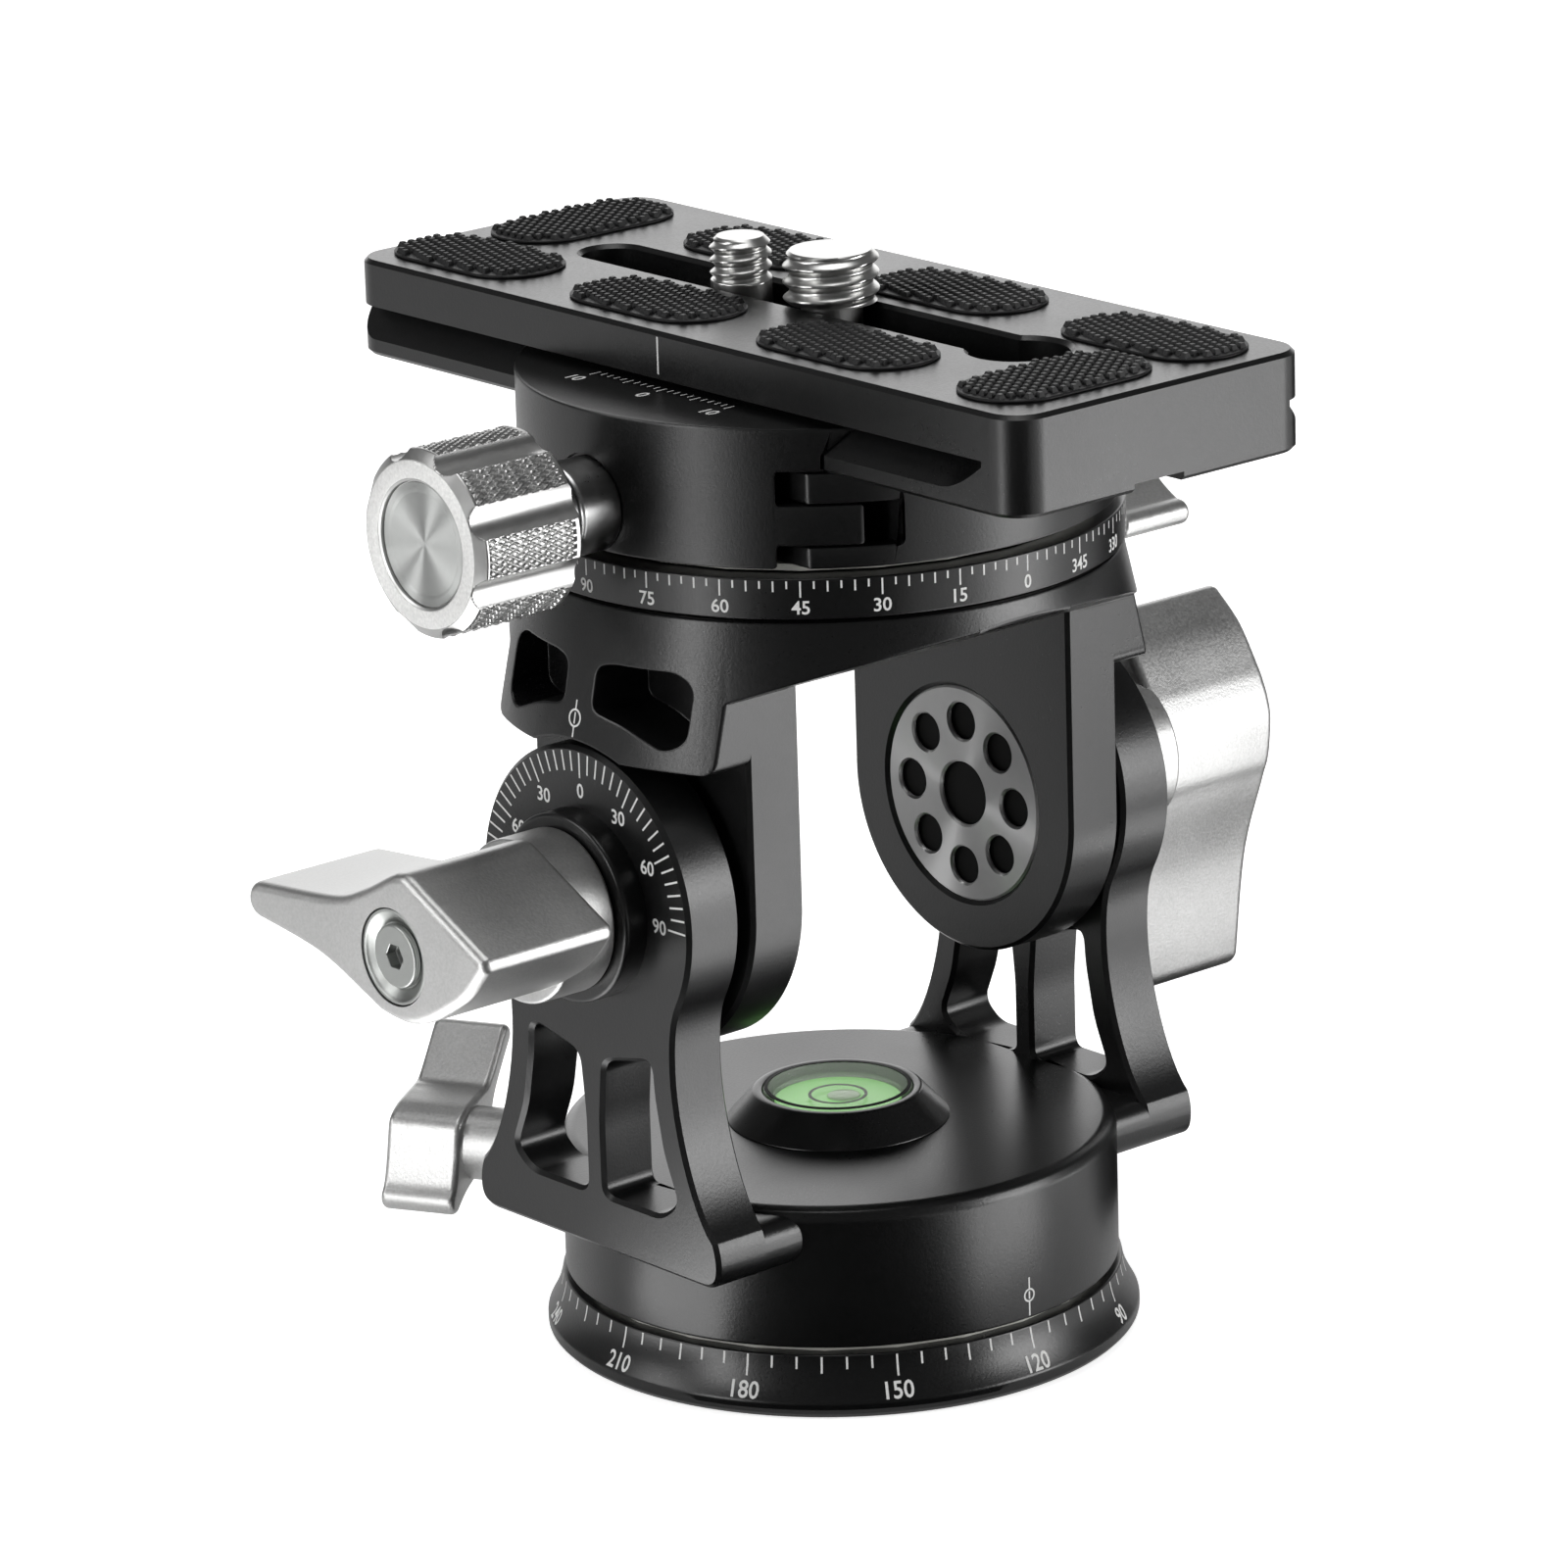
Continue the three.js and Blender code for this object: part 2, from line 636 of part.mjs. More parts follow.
// The pan body: a drum with two arms, machined in one piece
function panFrame() {
  const bore = spindleRadius + runGap;
  const cavity = spindleFlangeRadius + restGap;
  const edgeMiddle = panBodyEdge * (1 - Math.SQRT1_2);
  const drum = solidOf(turned([
    [cavity, panBodyBottom],
    [panBodyRadius, panBodyBottom],
    [panBodyRadius, panBodyTop - panBodyEdge],
    [panBodyRadius - edgeMiddle, panBodyTop - edgeMiddle],
    [panBodyRadius - panBodyEdge, panBodyTop],
    [nutPocketRadius, panBodyTop],
    [nutPocketRadius, panWebTop],
    [bore, panWebTop],
    [bore, panWebBottom],
    [cavity, panWebBottom],
  ], ringSides));
  let body = drum;
  const footTop = armFootBottom + armFootDepth;
  for (const side of [-1, 1]) {
    const arm = solidOf(plateAlongX(armOutline(), side * armInner, side * armOuter, armEdge, arcSteps));
    const footInner = side * (armInner - armFootReach);
    const footFull = solidOf(plateAlongX(armOutline(), footInner, side * (armInner + overrun), 0, arcSteps));
    const footOuter = side * (armInner + overrun);
    const low = Math.min(footInner, footOuter) - overrun;
    const high = Math.max(footInner, footOuter) + overrun;
    const keep = solidOf(block(low, high, -armFootHalf - overrun, armFootHalf + overrun,
      armFootBottom - overrun, footTop));
    const bossStart = side * (armOuter - overrun);
    const boss = solidOf(rodAlongX(bossRadius, bossStart, side * bossFace, 0, tiltHeight, largeSides));
    body = join(body, arm, footFull.intersect(keep), boss);
  }
  const tools = [];
  for (const side of [-1, 1]) {
    const inside = side * (armInner - overrun);
    const outside = side * (bossFace + overrun);
    const boreSolid = rodAlongX(bushingRadius + seatGap, inside, outside, 0, tiltHeight, largeSides);
    const seatTo = side * (armInner + bushingFlangeDepth);
    const flangeSeat = rodAlongX(bushingFlangeRadius + seatGap, inside, seatTo, 0, tiltHeight, largeSides);
    tools.push(solidOf(boreSolid), solidOf(flangeSeat));
    for (const edge of [-1, 1]) {
      tools.push(solidOf(plateAlongX(armWindow(edge), inside - overrun, side * (armOuter + overrun))));
    }
  }
  tools.push(solidOf(radialRod(lockBoreRadius, 0, panBodyRadius + overrun, rearLockAngle, rearLockHeight)));
  return cut(body, ...tools);
}

// A flanged bearing bush that the tilt bolt turns in
function tiltBushing(side) {
  const bore = tiltBoltRadius + runGap;
  return solidOf(turnedAlongX([
    [bore, side * (armInner + seatGap)],
    [bushingFlangeRadius, side * (armInner + seatGap)],
    [bushingFlangeRadius, side * (armInner + bushingFlangeDepth)],
    [bushingRadius, side * (armInner + bushingFlangeDepth)],
    [bushingRadius, side * (bossFace - seatGap)],
    [bore, side * (bossFace - seatGap)],
  ], tiltHeight));
}

function levelHousing() {
  const well = vialRadius + seatGap;
  const floor = panBodyTop + levelHeight - vialDepth - seatGap;
  const wall = (levelTopRadius + well) / 2;
  return solidOf(turned([
    [0, panBodyTop - levelPlugDepth],
    [nutPocketRadius - seatGap, panBodyTop - levelPlugDepth],
    [nutPocketRadius - seatGap, panBodyTop],
    [levelFootRadius, panBodyTop],
    [levelTopRadius, panBodyTop + levelHeight - seatGap],
    [wall, panBodyTop + levelHeight],
    [well, panBodyTop + levelHeight - seatGap],
    [well, floor],
    [0, floor],
  ]));
}

// The clear capsule: a crowned roof on a wall, open below for its green backing disc
function levelVial() {
  const top = panBodyTop + levelHeight;
  const low = top - vialDepth;
  const inner = vialRadius - vialWall;
  return solidOf(turned([
    [inner, low],
    [vialRadius, low],
    [vialRadius, top - seatGap],
    [inner, top + vialCrown / 2],
    [vialRadius / 2, top + vialCrown * vialShoulderShare],
    [0, top + vialCrown],
    [0, top - vialRoof],
    [inner, top - vialRoof],
  ], largeSides));
}

function levelDisc() {
  const low = panBodyTop + levelHeight - vialDepth;
  return solidOf(rodAlongZ(vialRadius - vialWall - seatGap, low, low + levelDiscThickness, 0, 0, largeSides));
}

// The brass shoe that a lock screw presses on a spindle, along +X from the spindle's axis
function lockShoe(spindle, height) {
  const start = spindle + runGap;
  return solidOf(rodAlongX(lockShoeRadius, start, start + lockShoeLength, 0, height));
}

// Big wing knob outline in its own frame: blade towards +X, peak towards +Y, or -Y for the other hand
function bigWingOutline(wing, hand) {
  const at = ([u, v]) => new THREE.Vector2(
    u * (u > 0 ? wing.blade : wing.tip),
    hand * v * (v > 0 ? wing.peak : wing.belly),
  );
  const centre = new THREE.Vector2(wing.blade - wing.endRadius, hand * wingCentreShare * wing.peak);
  const start = hand * Math.PI / 2;
  const shape = new THREE.Shape();
  shape.moveTo(centre.x, centre.y + hand * wing.endRadius);
  shape.splineThru(wingTopShares.map(at));
  const [tipTop, tipCorner, tipLow] = wingTipShares.map(at);
  shape.lineTo(tipTop.x, tipTop.y);
  shape.quadraticCurveTo(tipCorner.x, tipCorner.y, tipLow.x, tipLow.y);
  const belly = wingBellyShares.map(at);
  shape.lineTo(belly[0].x, belly[0].y);
  shape.splineThru([...belly.slice(1), new THREE.Vector2(centre.x, centre.y - hand * wing.endRadius)]);
  shape.absarc(centre.x, centre.y, wing.endRadius, -start, start, hand < 0);
  return shape;
}

// Small wing knob outline in the same frame, with the whole outline moved by the knob's shift
function smallWingOutline(wing, hand) {
  const [shiftU, shiftV] = wing.shift;
  const at = ([u, v]) => new THREE.Vector2(
    shiftU + u * (u > 0 ? wing.blade : wing.tip),
    hand * (shiftV + v * (v > 0 ? wing.peak : wing.belly)),
  );
  const end = new THREE.Vector2(shiftU + wing.blade - wing.endRadius, hand * (shiftV + wing.endRise));
  const lip = new THREE.Vector2(shiftU - wing.tip + wing.lipRadius, hand * (shiftV - wing.lipDrop));
  const start = hand * Math.PI / 2;
  const shape = new THREE.Shape();
  shape.moveTo(end.x, end.y + hand * wing.endRadius);
  shape.splineThru([...lipTopShares.map(at), new THREE.Vector2(lip.x, lip.y + hand * wing.lipRadius)]);
  shape.absarc(lip.x, lip.y, wing.lipRadius, start, -start, hand < 0);
  shape.splineThru([...lipBellyShares.map(at), new THREE.Vector2(end.x, end.y - hand * wing.endRadius)]);
  shape.absarc(end.x, end.y, wing.endRadius, -start, start, hand < 0);
  return shape;
}

// A wing knob in its own frame: hub face at x = 0, outer face towards +X, axis on the origin
function wingKnob(wing, outline, hub) {
  const faceX = hub + wing.depth;
  const body = solidOf(plateAlongX(outline, hub, faceX, wing.bevel));
  const neck = solidOf(rodAlongX(wing.hubRadius, 0, hub + overrun, 0, 0, largeSides));
  const bore = solidOf(rodAlongX(wing.boreRadius, -overrun, faceX - wing.boreFloor, 0, 0));
  let knob = cut(join(body, neck), bore);
  if (wing.pocketRadius) {
    const pocket = solidOf(rodAlongX(wing.pocketRadius, faceX - wing.pocketDepth, faceX + overrun, 0, 0));
    const hole = solidOf(rodAlongX(wing.screwRadius + seatGap, 0, faceX, 0, 0));
    knob = cut(knob, pocket, hole);
  }
  return knob;
}

// The dished washer and the socket screw in the face of a big wing knob, in the knob's frame
function knobWasher(wing, hub) {
  const floor = hub + wing.depth - wing.pocketDepth;
  return solidOf(turnedAlongX([
    [wing.screwRadius + seatGap, floor],
    [wing.washerRadius, floor],
    [wing.washerRadius, floor + wing.washerThickness + wing.washerRise],
    [wing.washerFlatRadius, floor + wing.washerThickness],
    [wing.screwRadius + seatGap, floor + wing.washerThickness],
  ], 0, smallSides));
}

function knobScrew(wing, hub) {
  const seat = hub + wing.depth - wing.pocketDepth + wing.washerThickness;
  const top = seat + wing.headHeight;
  const body = solidOf(turnedAlongX([
    [0, seat - wing.screwLength],
    [wing.screwRadius, seat - wing.screwLength],
    [wing.screwRadius, seat],
    [wing.headRadius, seat],
    [wing.headRadius, top],
    [0, top],
  ], 0, smallSides));
  const floor = top - wing.socketDepth;
  return cut(body, solidOf(rodAlongX(wing.socketRadius, floor, top + overrun, 0, 0, hexSides)));
}

// The stud that a small wing knob turns, pressed into the knob, in the knob's frame
function lockScrew(wing, hub, reach) {
  const end = hub + wing.depth - wing.boreFloor - seatGap;
  return solidOf(rodAlongX(lockScrewRadius, -reach, end, 0, 0));
}

function bellRadiusAt(height) {
  const share = (yokeTop - height) / (yokeTop - skirtBottom);
  return yokeTopRadius + share * (yokeHemRadius - yokeTopRadius);
}

// The yoke: a round top with two hanging legs and two windowed skirts, machined in one piece
function yoke() {
  const rim = bellRadiusAt(yokeRimZ + yokeRimEdge);
  const bell = solidOf(turned([
    [0, skirtBottom],
    [yokeHemRadius, skirtBottom],
    [yokeTopRadius, yokeTop],
    [0, yokeTop],
  ], ringSides));
  const reach = yokeHemRadius + overrun;
  const slice = solidOf(plateAlongX(polygon([
    [-legHalf, yokeRoof],
    [legHalf, yokeRoof],
    [rim - yokeRimEdge, yokeRimZ],
    [rim, yokeRimZ + yokeRimEdge],
    [rim + overrun, yokeTop + overrun],
    [-rim - overrun, yokeTop + overrun],
    [-rim, yokeRimZ + yokeRimEdge],
    [yokeRimEdge - rim, yokeRimZ],
  ]), -reach, reach));
  let body = bell.intersect(slice);
  const sweep = armHeadRadius + headClearance;
  for (const side of [-1, 1]) {
    const legShape = new THREE.Shape();
    legShape.moveTo(legHalf, yokeRimZ);
    legShape.lineTo(-legHalf, yokeRimZ);
    legShape.absarc(0, tiltHeight, legHalf, Math.PI, 2 * Math.PI);
    const leg = solidOf(plateAlongX(legShape, side * legInner, side * legOuter, 0, legArcSteps));
    const hem = skirtBottom;
    const hemBlock = roundedPolygon([
      [-legHalf, yokeRimZ], [-legHalf, hem], [legHalf, hem], [legHalf, yokeRimZ],
    ], skirtCorner);
    const skirtFull = solidOf(plateAlongX(hemBlock, side * (legInner + overrun), side * reach));
    const outside = side * (reach + overrun);
    const sweepRod = solidOf(rodAlongX(sweep, side * legOuter, outside, 0, tiltHeight, ringSides));
    body = join(body, leg, cut(skirtFull.intersect(bell), sweepRod));
  }
  const bossTop = scaleRingTop - seatGap;
  body = join(body, solidOf(rodAlongZ(yokeBossRadius, yokeTop - overrun, bossTop, 0, 0, largeSides)));
  const tools = [
    solidOf(rodAlongZ(turntableSpindleRadius + runGap, yokeRoof, scaleRingTop + overrun, 0, 0, largeSides)),
    solidOf(rodAlongZ(turntableNutPocket, yokeRoof - overrun, yokeWebBottom, 0, 0, largeSides)),
    solidOf(rodAlongX(lockBoreRadius, 0, reach, 0, upperLockHeight)),
  ];
  for (const side of [-1, 1]) {
    const inside = side * (legInner - overrun);
    const seat = side * (legInner + discSink + discThickness);
    const recess = seat + side * legRecessDepth;
    tools.push(solidOf(rodAlongX(discRadius + seatGap, inside, seat, 0, tiltHeight, largeSides)));
    tools.push(solidOf(rodAlongX(legRecessRadius, inside, recess, 0, tiltHeight, largeSides)));
    const outside = side * (legOuter + overrun);
    tools.push(solidOf(rodAlongX(tiltBoltRadius + seatGap, inside, outside, 0, tiltHeight)));
    for (const edge of [-1, 1]) {
      const window = roundedPolygon(skirtWindowShares.map(([out, up]) => [
        edge * out * skirtWindowReach,
        skirtWindowTop - (1 - up) * skirtWindowHeight,
      ]), skirtWindowCorner);
      tools.push(solidOf(plateAlongX(window, side * (legOuter + restGap), side * reach)));
    }
  }
  return cut(body, ...tools);
}

function piercedDisc(side) {
  const face = side * (legInner + discSink);
  const back = face + side * discThickness;
  const disc = solidOf(rodAlongX(discRadius, face, back, 0, tiltHeight, largeSides));
  const beyond = back + side * overrun;
  const tools = [solidOf(rodAlongX(discCentreHole, 0, beyond, 0, tiltHeight))];
  for (let i = 0; i < discHoleCount; i += 1) {
    const turn = (2 * Math.PI * i) / discHoleCount;
    const y = discHoleCircle * Math.sin(turn);
    const z = tiltHeight + discHoleCircle * Math.cos(turn);
    tools.push(solidOf(rodAlongX(discHoleRadius, 0, beyond, y, z, holeSides)));
  }
  return cut(disc, ...tools);
}

// The tilt bolt: its head lies in the leg behind the pierced disc, its thread carries the knob
function tiltBolt(side) {
  const seat = legInner + discSink + discThickness + legRecessDepth;
  const head = seat - tiltBoltHeadLength;
  const body = solidOf(turnedAlongX([
    [0, side * head],
    [tiltBoltHeadRadius, side * head],
    [tiltBoltHeadRadius, side * seat],
    [tiltBoltRadius, side * seat],
    [tiltBoltRadius, side * tiltBoltReach],
    [0, side * tiltBoltReach],
  ], tiltHeight, smallSides));
  const socket = rodAlongX(tiltBoltHexRadius, 0, side * (head + tiltBoltHexDepth), 0, tiltHeight, hexSides);
  return cut(body, solidOf(socket));
}

function frictionWasher(side) {
  const face = side * legOuter;
  const back = side * (legOuter + frictionWasherThickness);
  return cut(
    solidOf(rodAlongX(frictionWasherRadius, face, back, 0, tiltHeight, largeSides)),
    solidOf(rodAlongX(tiltBoltRadius + seatGap, 0, back + side * overrun, 0, tiltHeight)),
  );
}

function scaleRing() {
  const bore = yokeBossRadius + seatGap;
  return solidOf(turned([
    [bore, yokeTop],
    [scaleRingStepRadius, yokeTop],
    [scaleRingStepRadius, scaleRingBottom],
    [scaleRingRadius, scaleRingBottom],
    [scaleRingRadius, scaleRingTop],
    [bore, scaleRingTop],
  ], ringSides));
}

function turntableSpindle() {
  return solidOf(turned([
    [0, turntableShoulder - turntableNutHeight],
    [turntableThreadRadius, turntableShoulder - turntableNutHeight],
    [turntableThreadRadius, turntableShoulder],
    [turntableSpindleRadius, turntableShoulder],
    [turntableSpindleRadius, clampBottom],
    [turntableTenonRadius, clampBottom],
    [turntableTenonRadius, clampBottom + turntableTenonLength],
    [0, clampBottom + turntableTenonLength],
  ]));
}

// The round clamp block before it is parted into the fixed body and the jaw
function clampBlank() {
  const blank = solidOf(turned([
    [0, clampBottom],
    [clampRadius, clampBottom],
    [clampRadius, clampTop - clampEdge],
    [clampRadius - clampEdge, clampTop],
    [0, clampTop],
  ], ringSides));
  const wall = plateHalfWidth + dovetailGap;
  const lip = plateWaist + dovetailGap;
  const lipZ = plateLipTop + plateGrooveDepth;
  const channel = solidOf(plateAlongY(polygon([
    [-wall, clampFloor],
    [wall, clampFloor],
    [wall, plateLipTop],
    [lip, lipZ],
    [lip, clampTop + overrun],
    [-lip, clampTop + overrun],
    [-lip, lipZ],
    [-wall, plateLipTop],
  ]), -clampRadius - overrun, clampRadius + overrun));
  return cut(blank, channel);
}

// The region of the clamp block that belongs to the moving jaw
function jawRegion() {
  const far = clampRadius + overrun;
  const over = clampFloor + jawGap;
  return solidOf(plateAlongY(polygon([
    [-far, clampBottom - overrun],
    [-jawWall, clampBottom - overrun],
    [-jawWall, tongueBottom],
    [-tongueEnd, tongueBottom],
    [-tongueEnd, tongueTop],
    [-jawWall, tongueTop],
    [-jawWall, over],
    [0, over],
    [0, clampTop + overrun],
    [-far, clampTop + overrun],
  ]), -far, far));
}

function bodyRegion() {
  const far = clampRadius + overrun;
  return solidOf(plateAlongY(polygon([
    [far, clampBottom - overrun],
    [far, clampTop + overrun],
    [0, clampTop + overrun],
    [0, clampFloor],
    [-prongEnd, clampFloor],
    [-prongEnd, tongueTop + tongueGap],
    [-notchEnd, tongueTop + tongueGap],
    [-notchEnd, tongueBottom - tongueGap],
    [-prongEnd, tongueBottom - tongueGap],
    [-prongEnd, clampBottom - overrun],
  ]), -far, far));
}

function clampBody() {
  const tools = [
    solidOf(rodAlongX(clampScrewRadius + runGap, -prongEnd - overrun, clampBoreEnd, 0, clampScrewHeight)),
    solidOf(rodAlongZ(turntableTenonRadius + seatGap, clampBottom - overrun,
      clampBottom + turntableTenonLength + seatGap, 0, 0, largeSides)),
  ];
  for (const side of [-1, 1]) {
    const pin = [side * guidePinSpread, clampScrewHeight];
    const spring = [side * springSpread, clampScrewHeight];
    tools.push(solidOf(rodAlongX(guidePinRadius + seatGap, -prongEnd, -guidePinInner + seatGap, ...pin)));
    tools.push(solidOf(rodAlongX(springRadius + restGap, -prongEnd, -springInner, ...spring)));
  }
  return cut(clampBlank().intersect(bodyRegion()), ...tools);
}

function clampJaw() {
  const seatEnd = -clampSeat;
  const tools = [
    solidOf(rodAlongX(clampScrewRadius + runGap, -clampRadius - overrun, 0, 0, clampScrewHeight)),
    solidOf(rodAlongX(clampKnobNeckRadius + restGap, -clampRadius - overrun, seatEnd, 0, clampScrewHeight)),
  ];
  for (const side of [-1, 1]) {
    const pin = [side * guidePinSpread, clampScrewHeight];
    tools.push(solidOf(rodAlongX(guidePinRadius + runGap, -guidePinOuter - restGap, 0, ...pin)));
  }
  return cut(clampBlank().intersect(jawRegion()), ...tools);
}

function guidePin(side) {
  const y = side * guidePinSpread;
  return solidOf(rodAlongX(guidePinRadius, -guidePinOuter, -guidePinInner, y, clampScrewHeight));
}

// A coil spring along X between the tongue of the jaw and the bottom of its pocket
class SpringLine extends THREE.Curve {
  constructor(y, from, to) {
    super();
    this.y = y;
    this.from = from;
    this.to = to;
  }

  getPoint(share, target = new THREE.Vector3()) {
    const turn = 2 * Math.PI * springTurns * share;
    const radius = springRadius - springWire;
    return target.set(
      this.from + share * (this.to - this.from),
      this.y + radius * Math.cos(turn),
      clampScrewHeight + radius * Math.sin(turn),
    );
  }
}

function jawSpring(side) {
  const section = new THREE.Shape();
  section.absarc(0, 0, springWire, 0, 2 * Math.PI);
  const low = -tongueEnd + springWire + runGap;
  const high = -springInner - springWire - runGap;
  return solidOf(new THREE.ExtrudeGeometry(polygon(section.getSpacedPoints(springSides).slice(0, springSides)
    .map((point) => [point.x, point.y])), {
    steps: springTurns * springStepsPerTurn,
    bevelEnabled: false,
    extrudePath: new SpringLine(side * springSpread, low, high),
  }));
}

// The fluted clamp knob with its neck, and the screw that it turns
function clampKnob() {
  const edge = clampKnobRadius - clampKnobFaceRadius;
  const body = solidOf(turnedAlongX([
    [clampScrewRadius + seatGap, -clampSeat - seatGap],
    [clampKnobNeckRadius, -clampSeat - seatGap],
    [clampKnobNeckRadius, -clampKnobBack],
    [clampKnobRadius - clampKnobEdge, -clampKnobBack],
    [clampKnobRadius, -clampKnobBack - clampKnobEdge],
    [clampKnobRadius, edge - clampKnobFace],
    [clampKnobFaceRadius, -clampKnobFace],
    [clampKnobRecessRadius, -clampKnobFace],
    [clampKnobRecessRadius, clampKnobRecessDepth - clampKnobFace],
    [0, clampKnobRecessDepth - clampKnobFace],
    [0, clampKnobFaceWall - clampKnobFace],
    [clampScrewRadius + seatGap, clampKnobFaceWall - clampKnobFace],
  ], clampScrewHeight));
  const tools = Array.from({ length: clampKnobFlutes }, (_, i) => {
    const turn = (2 * Math.PI * (i + 1 / 2)) / clampKnobFlutes;
    const circle = clampKnobRadius + clampKnobFluteSink;
    const y = circle * Math.sin(turn);
    const z = clampScrewHeight + circle * Math.cos(turn);
    return solidOf(rodAlongX(clampKnobFluteRadius, -clampKnobFace - overrun, -clampKnobBack + overrun, y, z));
  });
  return cut(body, ...tools);
}

function clampScrew() {
  return solidOf(rodAlongX(clampScrewRadius, clampKnobFaceWall + seatGap - clampKnobFace,
    -clampScrewEnd, 0, clampScrewHeight));
}

// The camera plate: rounded slab, dovetail edges, long slot with a keyhole, hidden screw pocket
function cameraPlate() {
  const outline = roundedRectangle(plateHalfWidth, plateHalfLength, plateCorner);
  const blank = solidOf(plateAlongZ(outline, clampFloor, plateTop, plateEdge));
  const beyond = plateHalfLength + overrun;
  const tools = [];
  for (const side of [-1, 1]) {
    const groove = polygon([
      [side * (plateHalfWidth + overrun), plateLipTop - overrun],
      [side * plateWaist, plateLipTop + plateGrooveDepth],
      [side * plateWaist, plateSlabBottom],
      [side * (plateHalfWidth + overrun), plateSlabBottom],
    ]);
    tools.push(solidOf(plateAlongY(groove, side < 0 ? -plateGrooveStop : -beyond, beyond)));
  }
  const slot = new THREE.Shape();
  slot.absarc(0, slotEnd, slotHalf, 0, Math.PI);
  slot.absarc(0, keyholeY, slotHalf, Math.PI, 2 * Math.PI);
  tools.push(solidOf(plateAlongZ(slot, clampFloor, plateTop + overrun)));
  tools.push(solidOf(rodAlongZ(keyholeRadius, clampFloor, plateTop + overrun, 0, keyholeY)));
  const pocket = roundedRectangle(pocketHalf, pocketHalfLength, pocketHalf / 2);
  tools.push(solidOf(plateAlongZ(pocket, clampFloor - overrun, pocketRoof)));
  tools.push(solidOf(block(endChannelOffset - endChannelHalf, endChannelOffset + endChannelHalf,
    -beyond, overrun - pocketHalfLength, clampFloor - overrun, clampFloor + endChannelDepth)));
  return cut(blank, ...tools);
}

// One rubber pad: a low racetrack block with a softened edge
function gripPad(x, y, crosswise) {
  const half = crosswise ? [padLength / 2, padWidth / 2] : [padWidth / 2, padLength / 2];
  const outline = roundedRectangle(half[0], half[1], padWidth / 2);
  return solidOf(plateAlongZ(outline, plateTop, plateTop + padThickness, 0, bendSteps).translate(x, y, 0));
}

function gripPads() {
  return [1, -1].flatMap((turn) => padShares.map(([across, along, crosswise]) => gripPad(
    turn * across * plateHalfWidth,
    padLayoutY + turn * along * plateHalfLength,
    crosswise,
  )));
}

// A camera screw: slotted head in the pocket, narrow neck in the slot, thread above the plate
function cameraScrew(screw) {
  const headTop = pocketRoof - runGap - screwWasherThickness;
  const threadStart = plateTop + screw.collar;
  const body = solidOf(turned([
    [0, screwHeadBottom],
    [screw.headRadius, screwHeadBottom],
    [screw.headRadius, headTop],
    [screwNeckRadius, headTop],
    [screwNeckRadius, threadStart],
    [screw.threadRadius, threadStart],
    [screw.threadRadius, plateTop + screw.rise - screwEdge],
    [screw.threadRadius - screwEdge, plateTop + screw.rise],
    [0, plateTop + screw.rise],
  ], smallSides).translate(0, screw.y, 0));
  const reach = screw.headRadius + overrun;
  const driver = block(-reach, reach, screw.y - screwSlotWidth / 2, screw.y + screwSlotWidth / 2,
    screwHeadBottom - overrun, screwHeadBottom + screwSlotDepth);
  return cut(body, solidOf(driver));
}

function screwWasher(screw) {
  const top = pocketRoof - runGap;
  return solidOf(turned([
    [screwNeckRadius + runGap, top - screwWasherThickness],
    [screw.headRadius, top - screwWasherThickness],
    [screw.headRadius, top],
    [screwNeckRadius + runGap, top],
  ], smallSides).translate(0, screw.y, 0));
}

// A group that places a knob built in its own frame
function placed(group, ...meshes) {
  group.add(...meshes);
  return group;
}

const head = new THREE.Group();

head.add(meshOf('base_ring', baseRing(), blackAnodised));
head.add(meshOf('thread_insert', threadInsert(), steel));
head.add(meshOf('pan_spindle', panSpindle(), steel));
head.add(meshOf('pan_washer', ringAlongZ(panWasherInner, panWasherOuter, baseHeight,
  baseHeight + panWasherThickness), polymer));
head.add(meshOf('spindle_nut', ringAlongZ(spindleThreadRadius + seatGap, spindleNutRadius, spindleShoulder,
  spindleShoulder + spindleNutHeight), steel));
baseScrewPlaces().forEach((place, i) => {
  head.add(meshOf(`base_screw_${i + 1}`, baseScrew(place), steel));
});

head.add(meshOf('pan_frame', panFrame(), blackAnodised));
head.add(meshOf('level_housing', levelHousing(), blackAnodised));
head.add(meshOf('level_vial', levelVial(), clearAcrylic));
head.add(meshOf('level_disc', levelDisc(), levelGreen));

head.add(meshOf('yoke', yoke(), blackAnodised));
head.add(meshOf('scale_ring', scaleRing(), blackAnodised));
head.add(meshOf('turntable_shoe', lockShoe(turntableSpindleRadius, upperLockHeight), brass));

const bigHub = knobFace - bigWing.depth - hubStart;
const knobs = [
  { name: 'left', side: -1, hand: -1, wing: bigWing, turn: [0, Math.PI, 0] },
  { name: 'right', side: 1, hand: 1, wing: { ...bigWing, blade: rightBlade }, turn: [-Math.PI / 2, 0, 0] },
];
for (const { name, side, hand, wing, turn } of knobs) {
  head.add(meshOf(`${name}_tilt_bushing`, tiltBushing(side), bronze));
  head.add(meshOf(`${name}_pierced_disc`, piercedDisc(side), silverCast));
  head.add(meshOf(`${name}_tilt_bolt`, tiltBolt(side), steel));
  head.add(meshOf(`${name}_friction_washer`, frictionWasher(side), polymer));
  const group = new THREE.Group();
  group.position.set(side * hubStart, 0, tiltHeight);
  group.rotation.set(...turn);
  head.add(placed(
    group,
    meshOf(`${name}_wing_knob`, wingKnob(wing, bigWingOutline(wing, hand), bigHub), silverCast),
    meshOf(`${name}_knob_washer`, knobWasher(wing, bigHub), steel),
    meshOf(`${name}_knob_screw`, knobScrew(wing, bigHub), steel),
  ));
}

